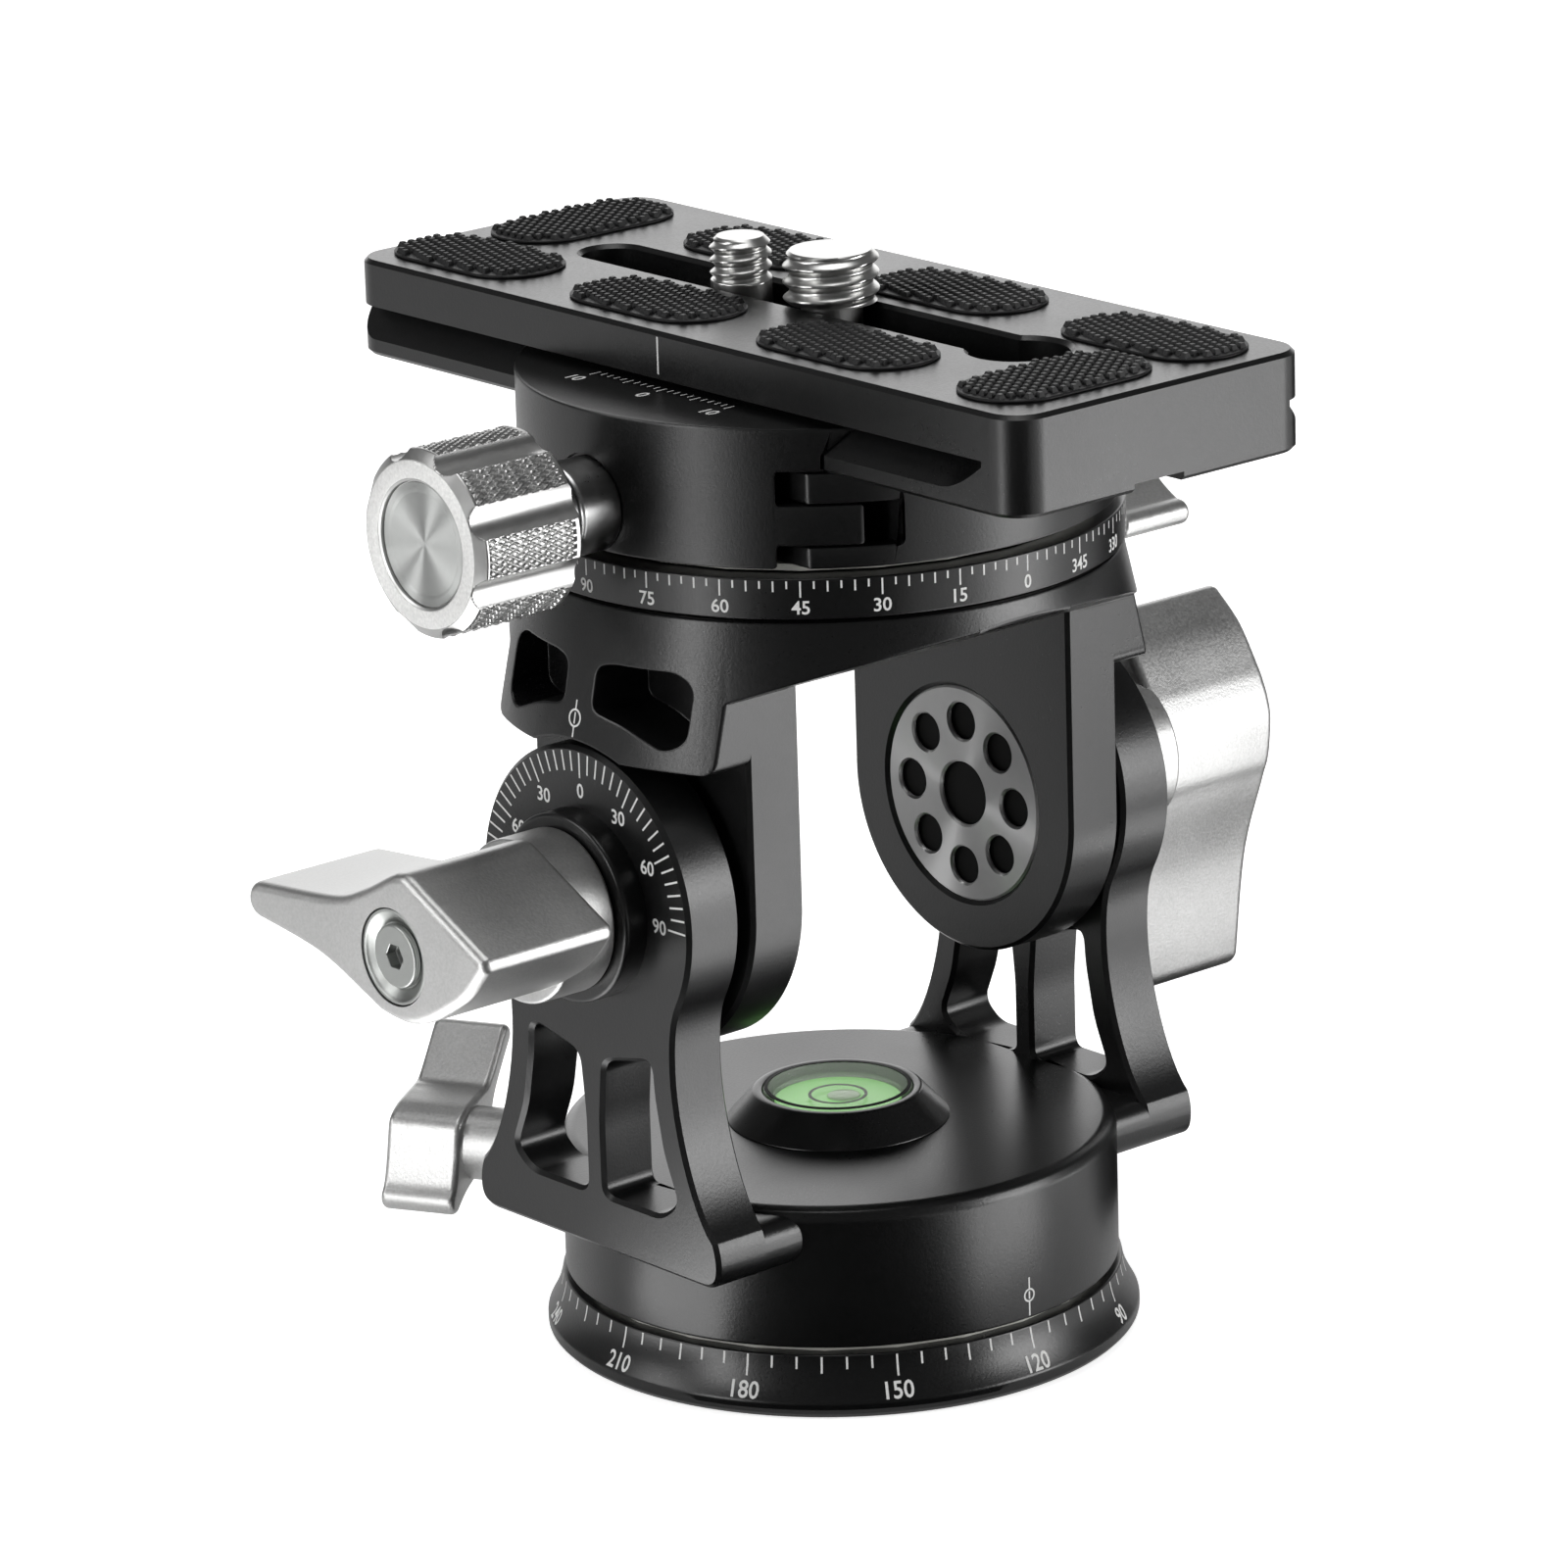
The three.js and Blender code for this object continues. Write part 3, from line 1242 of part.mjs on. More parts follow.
// The lock at the rear of the pan body, on a radial axis, with its blade upward
const rearLock = new THREE.Group();
rearLock.position.set(0, 0, rearLockHeight);
rearLock.rotation.set(0, 0, rearLockAngle * degree);
const rearStart = panBodyRadius + restGap;
const rearHub = rearLockFace - rearWing.depth - rearStart;
const rearKnob = new THREE.Group();
rearKnob.position.set(rearStart, 0, 0);
rearKnob.rotation.set(rearLockBladeAngle * degree, 0, 0);
const shoeEnd = lockShoeLength + runGap + restGap;
rearLock.add(placed(
  rearKnob,
  meshOf('rear_lock_knob', wingKnob(rearWing, smallWingOutline(rearWing, -1), rearHub), silverCast),
  meshOf('rear_lock_screw', lockScrew(rearWing, rearHub, rearStart - spindleRadius - shoeEnd), steel),
));
rearLock.add(meshOf('pan_shoe', lockShoe(spindleRadius, 0), brass));
head.add(rearLock);

// The lock on the +X side of the yoke
const upperLock = new THREE.Group();
const upperStart = bellRadiusAt(upperLockHeight - upperWing.hubRadius) + restGap;
const upperHub = upperLockFace - upperWing.depth - upperStart;
const upperReach = upperStart - turntableSpindleRadius - shoeEnd;
upperLock.position.set(upperStart, 0, upperLockHeight);
head.add(placed(
  upperLock,
  meshOf('upper_lock_knob', wingKnob(upperWing, smallWingOutline(upperWing, 1), upperHub), silverCast),
  meshOf('upper_lock_screw', lockScrew(upperWing, upperHub, upperReach), steel),
));

head.add(meshOf('clamp_body', clampBody(), blackAnodised));
head.add(meshOf('turntable_spindle', turntableSpindle(), steel));
head.add(meshOf('turntable_nut', ringAlongZ(turntableThreadRadius + seatGap, turntableNutRadius,
  turntableShoulder - turntableNutHeight, turntableShoulder), steel));
head.add(meshOf('turntable_washer', ringAlongZ(turntableWasherInner, turntableWasherOuter,
  clampBottom - turntableWasherThickness, clampBottom), polymer));
[-1, 1].forEach((side, i) => {
  head.add(meshOf(`guide_pin_${i + 1}`, guidePin(side), steel));
  head.add(meshOf(`jaw_spring_${i + 1}`, jawSpring(side), darkSteel));
});
head.add(meshOf('clamp_jaw', clampJaw(), blackAnodised));
head.add(meshOf('clamp_knob', clampKnob(), turnedAluminium));
head.add(meshOf('clamp_screw', clampScrew(), steel));

head.add(meshOf('camera_plate', cameraPlate(), blackAnodised));
gripPads().forEach((pad, i) => {
  head.add(meshOf(`grip_pad_${i + 1}`, pad, rubber));
});
for (const screw of [bigScrew, smallScrew]) {
  head.add(meshOf(`${screw.name}_camera_screw`, cameraScrew(screw), steel));
  head.add(meshOf(`${screw.name}_screw_washer`, screwWasher(screw), darkSteel));
}

export default head;
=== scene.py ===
# Two-way panoramic head: the looks of each piece, in the order in which the head is put together.
# Shapes are worked out in millimetres and become metres when a piece gets its finish.
import math
import bmesh
import bpy
from mathutils import Euler, Matrix, Vector


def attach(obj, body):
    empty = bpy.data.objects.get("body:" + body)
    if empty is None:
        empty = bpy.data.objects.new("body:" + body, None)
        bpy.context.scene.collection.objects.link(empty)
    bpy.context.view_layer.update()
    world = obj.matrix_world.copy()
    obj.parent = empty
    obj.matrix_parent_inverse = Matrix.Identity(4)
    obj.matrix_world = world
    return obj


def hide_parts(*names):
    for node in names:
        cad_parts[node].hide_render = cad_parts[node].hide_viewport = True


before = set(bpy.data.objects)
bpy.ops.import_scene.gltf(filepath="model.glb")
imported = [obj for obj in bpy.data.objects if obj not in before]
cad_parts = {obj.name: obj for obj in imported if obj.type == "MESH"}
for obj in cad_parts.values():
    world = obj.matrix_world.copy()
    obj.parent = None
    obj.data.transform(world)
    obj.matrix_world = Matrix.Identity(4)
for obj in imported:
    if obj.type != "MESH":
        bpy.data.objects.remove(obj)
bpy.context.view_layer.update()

# -------------------- base ring
# A turned aluminium ring, black anodised, that screws down on a tripod. Its flared rim carries
# a scale in degrees, cut by laser and left pale. Below it is flat, with three sunk screws.

MM = 0.001
BASE_RADIUS = 30.0
BASE_TOP_RADIUS = 28.3
BASE_HEIGHT = 6.1
BASE_RIM = 1.6
INSERT_RADIUS = 7.5
BASE_SCREW_CIRCLE = 12.5
HEAD_HOLE = 2.95
HEAD_DEPTH = 2.55
SHANK_HOLE = 1.55
SCALE_ZERO = 29.45
ANODISED_BLACK = (0.0038, 0.0039, 0.0041)
MARK_GREY = (0.78, 0.78, 0.77)
MARK_TOP = 0.015
MARK_FLOOR = -0.06
CLOUD_LOW, CLOUD_HIGH = 0.3, 0.7


def plain_piece(name, verts, faces):
    mesh = bpy.data.meshes.new(name)
    mesh.from_pydata([tuple(vert) for vert in verts], [], faces)
    piece = bpy.data.objects.new(name, mesh)
    bpy.context.scene.collection.objects.link(piece)
    return piece


def band(first, second, count):
    """Faces between two closed rings, each given by the number of its first point."""
    return [(first + k, first + (k + 1) % count, second + (k + 1) % count, second + k) for k in range(count)]


def parts_of(mesh):
    return [tuple(vert.co) for vert in mesh.vertices], [tuple(face.vertices) for face in mesh.polygons]


def add_to(verts, faces, more_verts, more_faces):
    """Adds points to a list, and faces that count from the first of them."""
    start = len(verts)
    verts += more_verts
    faces += [tuple(start + n for n in face) for face in more_faces]


def solid(name, verts, faces):
    """A closed shape, with doubled points merged and every face turned outward."""
    piece = plain_piece(name, verts, faces)
    shape = bmesh.new()
    shape.from_mesh(piece.data)
    bmesh.ops.remove_doubles(shape, verts=shape.verts, dist=0.0005)
    bmesh.ops.recalc_face_normals(shape, faces=shape.faces)
    shape.to_mesh(piece.data)
    shape.free()
    return piece


def corner_cut(corners, i, reach):
    """One corner of a closed outline, between a point before it and a point after it."""
    here = Vector(corners[i])
    before, after = Vector(corners[i - 1]) - here, Vector(corners[(i + 1) % len(corners)]) - here
    start = here + before.normalized() * min(reach, before.length / 2)
    return start, here, here + after.normalized() * min(reach, after.length / 2)


def eased(corners, ease, steps=4):
    """Rounds each corner of a profile, but for those on the axis that it is turned round."""
    points = []
    for i in range(len(corners)):
        start, here, end = corner_cut(corners, i, ease)
        if ease == 0 or here.x < 1e-6:
            points.append(tuple(here))
            continue
        for t in (k / steps for k in range(steps + 1)):
            points.append(tuple(start * (1 - t) ** 2 + here * 2 * t * (1 - t) + end * t * t))
    return points


def turned(name, profile, ease=0.25, sides=192, along="Z", centre=(0, 0, 0)):
    """A closed body of revolution from (radius, height) corners."""
    points = eased(profile, ease)
    verts, faces, rings = [], [], []
    cx, cy, cz = centre
    for radius, height in points:
        count = 1 if radius < 1e-6 else sides
        rings.append(range(len(verts), len(verts) + count))
        for k in range(count):
            turn = 2 * math.pi * k / sides
            a, b = radius * math.cos(turn), radius * math.sin(turn)
            verts.append((cx + a, cy + b, cz + height) if along == "Z" else (cx + height, cy + a, cz + b))
    for ring, other in zip(rings, rings[1:] + rings[:1]):
        if len(ring) > 1 and len(other) > 1:
            faces += band(ring[0], other[0], sides)
        elif len(ring) > 1:
            faces += [(ring[k], ring[(k + 1) % sides], other[0]) for k in range(sides)]
        elif len(other) > 1:
            faces += [(ring[0], other[k], other[(k + 1) % sides]) for k in range(sides)]
    return solid(name, verts, faces)


def rod(radius, low, high, along="Z", centre=(0, 0, 0), sides=96, ease=0):
    return turned("rod", [(0, low), (radius, low), (radius, high), (0, high)], ease, sides, along, centre)


def span(side, near, far):
    """The two ends of a piece on the left or right side, the lower one first."""
    return sorted((side * near, side * far))


def settle(piece):
    graph = bpy.context.evaluated_depsgraph_get()
    made = bpy.data.meshes.new_from_object(piece.evaluated_get(graph))
    old = piece.data
    piece.modifiers.clear()
    piece.data = made
    bpy.data.meshes.remove(old)


def shaped(piece, tools, how="DIFFERENCE"):
    """Cuts the tools out of a piece, or joins or crosses them with it."""
    for tool in tools:
        change = piece.modifiers.new("shape", "BOOLEAN")
        change.operation = how
        change.solver = "MANIFOLD"
        change.object = tool
        settle(piece)
        bpy.data.objects.remove(tool)
    return piece


def broken_edges(piece, width, segments=2, angle=38):
    """Breaks the sharp edges that cutting leaves, as a deburring tool does."""
    shape = bmesh.new()
    shape.from_mesh(piece.data)
    bmesh.ops.remove_doubles(shape, verts=shape.verts, dist=0.02)
    bmesh.ops.dissolve_degenerate(shape, edges=shape.edges, dist=0.01)
    flat = [edge for edge in shape.edges if len(edge.link_faces) == 2 and edge.calc_face_angle(0) < 0.002]
    bmesh.ops.dissolve_edges(shape, edges=flat, use_verts=False, use_face_split=False)
    shape.to_mesh(piece.data)
    shape.free()
    ease = piece.modifiers.new("ease", "BEVEL")
    ease.width = width
    ease.segments = segments
    ease.limit_method = "ANGLE"
    ease.angle_limit = math.radians(angle)
    ease.use_clamp_overlap = False
    ease.miter_outer = "MITER_ARC"
    settle(piece)
    return piece


def node(tree, kind, **values):
    """A new shader node with some of its inputs set."""
    made = tree.nodes.new("ShaderNode" + kind)
    for socket, value in values.items():
        made.inputs[socket.replace("_", " ")].default_value = value
    return made


def maths(tree, operation, factor=0.5):
    made = node(tree, "Math")
    made.operation = operation
    made.inputs[1].default_value = factor
    return made


def wired(tree, *rows):
    """Links shader nodes: each row is a node and its output, then a node and its input."""
    for source, output, target, value in rows:
        tree.links.new(source.outputs[output], target.inputs[value])


def ramp(tree, *stops):
    """A colour ramp through grey or coloured stops, each a position and a colour."""
    made = node(tree, "ValToRGB")
    for element, (position, _) in zip(made.color_ramp.elements, (stops[0], stops[-1])):
        element.position = position
    for position, _ in stops[1:-1]:
        made.color_ramp.elements.new(position)
    for element, (_, colour) in zip(made.color_ramp.elements, stops):
        element.color = [*colour, 1]
    return made


def tuned(material, **values):
    """Sets constant values on the material's own shader."""
    shader = material.node_tree.nodes["Principled BSDF"]
    for socket, value in values.items():
        shader.inputs[socket.replace("_", " ")].default_value = value
    return shader


def new_material(name):
    material = bpy.data.materials.new(name)
    material.use_nodes = True
    return material


def finish(name, colour, metallic, roughness, grain, depth, cloud=0.12, spread=0.06, specular=0.5):
    """A metal or plastic skin: fine grain in the surface, slow clouds in colour and polish."""
    material = new_material(name)
    tree = material.node_tree
    shader = tuned(material, Metallic=metallic, Specular_IOR_Level=specular)
    place = node(tree, "TexCoord")
    fine = node(tree, "TexNoise", Scale=grain, Detail=3)
    broad = node(tree, "TexNoise", Scale=60, Detail=4)
    tint = ramp(tree, *((stop, [tone * share for tone in colour]) for stop, share in (
        (CLOUD_LOW, 1 - cloud), (CLOUD_HIGH, 1 + cloud))))
    blend, halves = maths(tree, "MULTIPLY_ADD"), maths(tree, "MULTIPLY")
    polish = node(tree, "MapRange", From_Min=CLOUD_LOW, From_Max=CLOUD_HIGH,
                  To_Min=roughness - spread, To_Max=roughness + spread)
    bump = node(tree, "Bump", Strength=0.6, Distance=depth * MM)
    wired(
        tree, (place, "Object", fine, "Vector"), (place, "Object", broad, "Vector"),
        (fine, "Fac", halves, 0), (broad, "Fac", blend, 0), (halves, 0, blend, 2), (blend, 0, tint, "Fac"),
        (blend, 0, polish, "Value"), (tint, "Color", shader, "Base Color"),
        (polish, "Result", shader, "Roughness"), (fine, "Fac", bump, "Height"),
        (bump, "Normal", shader, "Normal"))
    return material


def fitted(piece, material, body, hides=None, sharp=32):
    """Brings a finished shape to metres, gives it its skin and hangs it on the body it moves with."""
    mesh = piece.data
    mesh.transform(Matrix.Scale(MM, 4))
    mesh.materials.clear()
    mesh.materials.append(material)
    mesh.shade_smooth()
    mesh.set_sharp_from_angle(angle=math.radians(sharp))
    piece.modifiers.new("even", "WEIGHTED_NORMAL").keep_sharp = True
    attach(piece, body)
    if hides:
        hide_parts(hides)


def stroke(across, low, high, steps=4):
    """One engraved line of a scale, upright on its surface, as a thin filled cut."""
    verts, faces = [], []
    for k in range(steps + 1):
        v = low + (high - low) * k / steps
        verts += [(-across / 2, v, MARK_FLOOR), (across / 2, v, MARK_FLOOR),
                  (across / 2, v, MARK_TOP), (-across / 2, v, MARK_TOP)]
    for k in range(steps):
        faces += band(4 * k, 4 * k + 4, 4)
    faces += [(3, 2, 1, 0), tuple(4 * steps + n for n in range(4))]
    return verts, faces


def eyelet(radius, across, sides=28):
    """The small engraved circle of an index mark."""
    verts, faces = [], []
    for k in range(sides):
        turn = 2 * math.pi * k / sides
        for r, w in ((-1, MARK_FLOOR), (1, MARK_FLOOR), (1, MARK_TOP), (-1, MARK_TOP)):
            reach = radius + r * across / 2
            verts.append((reach * math.cos(turn), reach * math.sin(turn), w))
    for k in range(sides):
        faces += band(4 * k, 4 * ((k + 1) % sides), 4)
    return verts, faces


def points_and_faces(curve):
    """The filled shape of a curve or a line of text."""
    holder = bpy.data.objects.new(curve.name, curve)
    bpy.context.scene.collection.objects.link(holder)
    graph = bpy.context.evaluated_depsgraph_get()
    graph.update()
    mesh = bpy.data.meshes.new_from_object(holder.evaluated_get(graph))
    bpy.data.objects.remove(holder)
    verts, faces = parts_of(mesh)
    bpy.data.meshes.remove(mesh)
    return verts, faces


def numeral(text, height):
    """Engraved figures, centred, as thin solids."""
    letters = bpy.data.curves.new("figures", "FONT")
    letters.body = text
    letters.extrude = 0.5
    letters.offset = 0.014
    letters.resolution_u = 3
    verts, faces = points_and_faces(letters)
    bpy.data.curves.remove(letters)
    xs, ys, _ = zip(*verts)
    scale = height / (max(ys) - min(ys))
    mid_x, mid_y = (max(xs) + min(xs)) / 2, (max(ys) + min(ys)) / 2
    return [
        ((x - mid_x) * scale, (y - mid_y) * scale, MARK_TOP if z > 0 else MARK_FLOOR) for x, y, z in verts
    ], faces


def scale_marks(name, entries):
    """One piece of all the marks of a scale: each entry is a mark and how it lies on the surface."""
    verts, faces = [], []
    for (mark_verts, mark_faces), lie in entries:
        add_to(verts, faces, [lie(*vert) for vert in mark_verts], mark_faces)
    return solid(name, verts, faces)


def flare(height):
    """Radius of the base ring's flared rim at a height above the tripod."""
    t = (BASE_HEIGHT - height) / (BASE_HEIGHT - BASE_RIM)
    t = min(1, max(0, t))
    return BASE_TOP_RADIUS * (1 - t) ** 2 + (BASE_TOP_RADIUS + 0.3) * 2 * t * (1 - t) + BASE_RADIUS * t * t


def round_the_rim(radius_at, angle):
    """How a flat mark wraps on a turned surface, upright, centred on an angle in plan."""
    return lambda u, v, w: (
        (radius_at(v) + w) * math.cos(math.radians(angle) + u / radius_at(v)),
        (radius_at(v) + w) * math.sin(math.radians(angle) + u / radius_at(v)),
        v,
    )


def lifted(mark, rise, shift=0):
    verts, faces = mark
    return [(u + shift, v + rise, w) for u, v, w in verts], faces


black = finish("black_anodised_skin", ANODISED_BLACK, 0.0, 0.31, 3600, 0.02, 0.3, 0.05, 0.47)
pale = finish("engraved_line", MARK_GREY, 0.0, 0.6, 2500, 0.01, 0.06, 0.05, 0.3)

rim = [(flare(BASE_RIM + k * 0.3), BASE_RIM + k * 0.3) for k in range(1, 15)]
base_ring = turned("base_ring_skin", [
    (INSERT_RADIUS + 0.05, 0.0), (BASE_RADIUS - 0.6, 0.0), (BASE_RADIUS, 0.6), (BASE_RADIUS, BASE_RIM),
    *rim, (BASE_TOP_RADIUS, BASE_HEIGHT), (INSERT_RADIUS + 0.05, BASE_HEIGHT),
], 0.2)
screw_places = [
    (BASE_SCREW_CIRCLE * math.cos(2 * math.pi * i / 3), BASE_SCREW_CIRCLE * math.sin(2 * math.pi * i / 3))
    for i in range(3)
]
for hole, depth in ((HEAD_HOLE, HEAD_DEPTH), (SHANK_HOLE, 8)):
    shaped(base_ring, [rod(hole, -1, depth, centre=(x, y, 0)) for x, y in screw_places])
fitted(base_ring, black, "base", "base_ring")

base_marks = []
for value in range(0, 360, 5):
    bottom = 3.86 if value % 30 == 0 else 4.35 if value % 15 == 0 else 4.75
    lie = round_the_rim(flare, SCALE_ZERO - value)
    base_marks.append((stroke(0.2, bottom, 5.93), lie))
    if value % 30 == 0:
        base_marks.append((lifted(numeral(str(value), 1.6), 2.62), lie))
base_scale = scale_marks("base_scale", base_marks)
fitted(base_scale, pale, "base")

# -------------------- spindle and threads
# Steel pieces inside the base: the threaded insert for the tripod, the spindle that the body
# turns on, its nut and the screws that hold it. They are the frame's own solids, finished here.

bright_steel = finish("bright_steel", (0.55, 0.55, 0.54), 1.0, 0.24, 1800, 0.004, 0.05, 0.05)
dark_steel = finish("blackened_steel", (0.09, 0.09, 0.09), 1.0, 0.38, 1800, 0.006, 0.1, 0.05)
brass = finish("plain_brass", (0.62, 0.44, 0.18), 1.0, 0.34, 1600, 0.006, 0.08, 0.05)
bronze = finish("bearing_bronze", (0.38, 0.22, 0.1), 1.0, 0.5, 3000, 0.02, 0.12, 0.06)
slide_plastic = finish("slide_plastic", (0.62, 0.62, 0.57), 0.0, 0.55, 900, 0.01, 0.05, 0.04)
inner_finishes = {
    bright_steel: [
        "thread_insert", "pan_spindle", "spindle_nut", "base_screw_1", "base_screw_2", "base_screw_3",
        "rear_lock_screw", "upper_lock_screw", "turntable_spindle",
        "turntable_nut", "guide_pin_1", "guide_pin_2", "clamp_screw",
    ],
    dark_steel: [
        "left_tilt_bolt", "right_tilt_bolt", "jaw_spring_1", "jaw_spring_2", "big_screw_washer",
        "small_screw_washer",
    ],
    brass: ["turntable_shoe", "pan_shoe"],
    bronze: ["left_tilt_bushing", "right_tilt_bushing"],
    slide_plastic: ["pan_washer", "left_friction_washer", "right_friction_washer", "turntable_washer"],
}
for skin, names in inner_finishes.items():
    for name in names:
        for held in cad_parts[name].material_slots:
            held.material = skin

# -------------------- pan body and arms
# One piece of aluminium: a drum that turns on the base, and two arms with pairs of windows that
# carry the tilt axis. It is milled all over, its edges are chamfered, and it is black anodised.

BODY_BOTTOM = 6.7
BODY_TOP = 21.1
BODY_RADIUS = 28.0
TILT_HEIGHT = 51.0
TILT_AXIS = ("X", (0, 0, TILT_HEIGHT))
ARM_INNER = 25.3
ARM_OUTER = 31.8
BOSS_FACE = 34.5
HEAD_RADIUS = 15.7
WAIST_HALF = 12.45
FOOT_HALF = 18.45
FOOT_BOTTOM = 15.3
FOOT_TOP = 20.5
FOOT_REACH = 4.8
FOOT_CORNER = 2.5
NECK_ANGLE = 29.2
BOSS_RADIUS = 9.5
BUSHING_RADIUS = 6.25
WINDOW_WIDTH = 12.4
WINDOW_HEIGHT = 15.6
ARM_WINDOW = [
    (0.11, 0.5), (0.11, 0), (0.8, 0), (1, 0.12), (0.84, 0.42), (0.75, 0.78), (0.73, 1), (0.16, 0.9),
]


def bend(points, steps=12):
    """Points along a curve through two, three or four control points, without the first."""
    controls = [Vector(point) for point in points]
    path = []
    for k in range(1, steps + 1):
        t = k / steps
        level = controls
        while len(level) > 1:
            level = [a.lerp(b, t) for a, b in zip(level, level[1:])]
        path.append(tuple(level[0]))
    return path


def arc(cx, cy, radius, start, end, steps=48):
    return [
        (cx + radius * math.cos(math.radians(start + (end - start) * k / steps)),
         cy + radius * math.sin(math.radians(start + (end - start) * k / steps)))
        for k in range(steps + 1)
    ]


def slab(name, outlines, low, high, chamfer, along="X", rounds=0):
    """Outlines cut from plate, the first the outside and the rest holes, with broken edges."""
    curve = bpy.data.curves.new(name, "CURVE")
    curve.dimensions = "2D"
    curve.fill_mode = "BOTH"
    curve.extrude = (high - low) / 2 - chamfer
    curve.bevel_depth = chamfer
    curve.bevel_resolution = rounds
    curve.offset = -chamfer
    for outline in outlines:
        kept = [
            point for i, point in enumerate(outline)
            if (Vector(point) - Vector(outline[i - 1])).length > 0.004
        ]
        spline = curve.splines.new("POLY")
        spline.points.add(len(kept) - 1)
        spline.points.foreach_set("co", [value for x, y in kept for value in (x, y, 0, 1)])
        spline.use_cyclic_u = True
    verts, faces = points_and_faces(curve)
    middle = (low + high) / 2
    turn = {
        "X": lambda x, y, z: (z + middle, x, y),
        "Y": lambda x, y, z: (x, z + middle, y),
        "Z": lambda x, y, z: (x, y, z + middle),
    }[along]
    return solid(name, [turn(*vert) for vert in verts], faces)


def arm_outline():
    height = TILT_HEIGHT - FOOT_BOTTOM
    neck = math.radians(NECK_ANGLE)
    neck_y, neck_z = HEAD_RADIUS * math.cos(neck), TILT_HEIGHT - HEAD_RADIUS * math.sin(neck)
    pull = HEAD_RADIUS * 0.15
    spread = FOOT_HALF - WAIST_HALF
    knee_y, knee_z = WAIST_HALF + 0.91 * spread, FOOT_BOTTOM + 0.14 * height
    corner_z = FOOT_BOTTOM + FOOT_CORNER
    waist = (WAIST_HALF, FOOT_BOTTOM + 0.591 * height)
    half = [(neck_y, neck_z)]
    half += bend([half[-1], (neck_y - pull * math.sin(neck), neck_z - pull * math.cos(neck)),
                  (WAIST_HALF, FOOT_BOTTOM + 0.66 * height), waist])
    half += bend([waist, (WAIST_HALF, FOOT_BOTTOM + 0.44 * height),
                  (WAIST_HALF + 0.425 * spread, FOOT_BOTTOM + 0.21 * height), (knee_y, knee_z)])
    half += bend([half[-1], (FOOT_HALF, (knee_z + corner_z) / 2), (FOOT_HALF, corner_z)])
    half += bend([half[-1], (FOOT_HALF, FOOT_BOTTOM), (FOOT_HALF - FOOT_CORNER, FOOT_BOTTOM)])
    head = arc(0, TILT_HEIGHT, HEAD_RADIUS, -NECK_ANGLE, 180 + NECK_ANGLE, 96)
    return head + [(-y, z) for y, z in half] + half[::-1]


def soft_polygon(corners, radius):
    """A polygon with each corner rounded, as an end mill leaves it."""
    points = []
    for i in range(len(corners)):
        cut = corner_cut(corners, i, radius)
        points += [tuple(cut[0])] + bend(cut, 8)
    return points


def joined(name, pieces):
    """Several closed shapes kept as one piece."""
    verts, faces = [], []
    for piece in pieces:
        add_to(verts, faces, *parts_of(piece.data))
        bpy.data.objects.remove(piece)
    return plain_piece(name, verts, faces)


drum = turned("drum", [
    (18.3, BODY_BOTTOM), (BODY_RADIUS, BODY_BOTTOM), (BODY_RADIUS, BODY_TOP - 1.2),
    (BODY_RADIUS - 0.35, BODY_TOP - 0.35), (BODY_RADIUS - 1.2, BODY_TOP), (10.6, BODY_TOP),
    (10.6, 16.85), (7.65, 16.85), (7.65, 8.7), (18.3, 8.7),
], 0.3)
windows = [
    soft_polygon([(side * out * WINDOW_WIDTH, BODY_TOP + up * WINDOW_HEIGHT) for out, up in ARM_WINDOW], 1.3)
    for side in (-1, 1)
]
parts = [drum]
for side in (-1, 1):
    arm = slab("arm", [arm_outline(), *windows], *span(side, ARM_INNER, ARM_OUTER), 0.42)
    shaped(arm, [rod(BOSS_RADIUS, *span(side, ARM_OUTER - 1, BOSS_FACE), *TILT_AXIS, 128, 0.5)], "UNION")
    shaped(arm, [rod(BUSHING_RADIUS, *span(side, ARM_INNER - 2, 40), *TILT_AXIS)])
    foot = slab("foot", [soft_polygon([
        (-FOOT_HALF, FOOT_BOTTOM), (FOOT_HALF, FOOT_BOTTOM), (FOOT_HALF, FOOT_TOP), (-FOOT_HALF, FOOT_TOP),
    ], FOOT_CORNER)], *span(side, ARM_INNER - FOOT_REACH, ARM_INNER + 1), 0.5, "X", 3)
    parts += [arm, foot]
pan_frame = joined("pan_frame_skin", parts)
fitted(pan_frame, black, "pan_body", "pan_frame")


def on_left_arm(angle=0, radius=0, centre_z=TILT_HEIGHT):
    """How a mark lies on the outer face of the left arm, upright or turned round the tilt axis."""
    turn = math.radians(angle)

    def lie(u, v, w):
        across = u * math.cos(turn) + (v + radius) * math.sin(turn)
        up = -u * math.sin(turn) + (v + radius) * math.cos(turn)
        return -ARM_OUTER - w, -across, centre_z + up
    return lie


FIGURE_CIRCLE = 11.3
dial_marks = []
for value in range(-90, 95, 5):
    inner = 12.6 if value % 30 == 0 else 13.15
    dial_marks.append((stroke(0.2, inner, 15.15), on_left_arm(value)))
    if value % 30 == 0:
        across, up = (FIGURE_CIRCLE * share(math.radians(value)) for share in (math.sin, math.cos))
        dial_marks.append((lifted(numeral(str(abs(value)), 1.5), up, across), on_left_arm()))
dial = scale_marks("tilt_dial", dial_marks)
fitted(dial, pale, "pan_body")


def index_mark(name, radius_at, angle, ends, eye, across):
    """An upright line broken by a small circle, with a short line inside the circle."""
    lie = round_the_rim(radius_at, angle)
    lines = [(stroke(0.18, low, high), lie) for low, high in ends]
    return scale_marks(name, lines + [(lifted(eyelet(eye, across), sum(ends[1]) / 2), lie)])


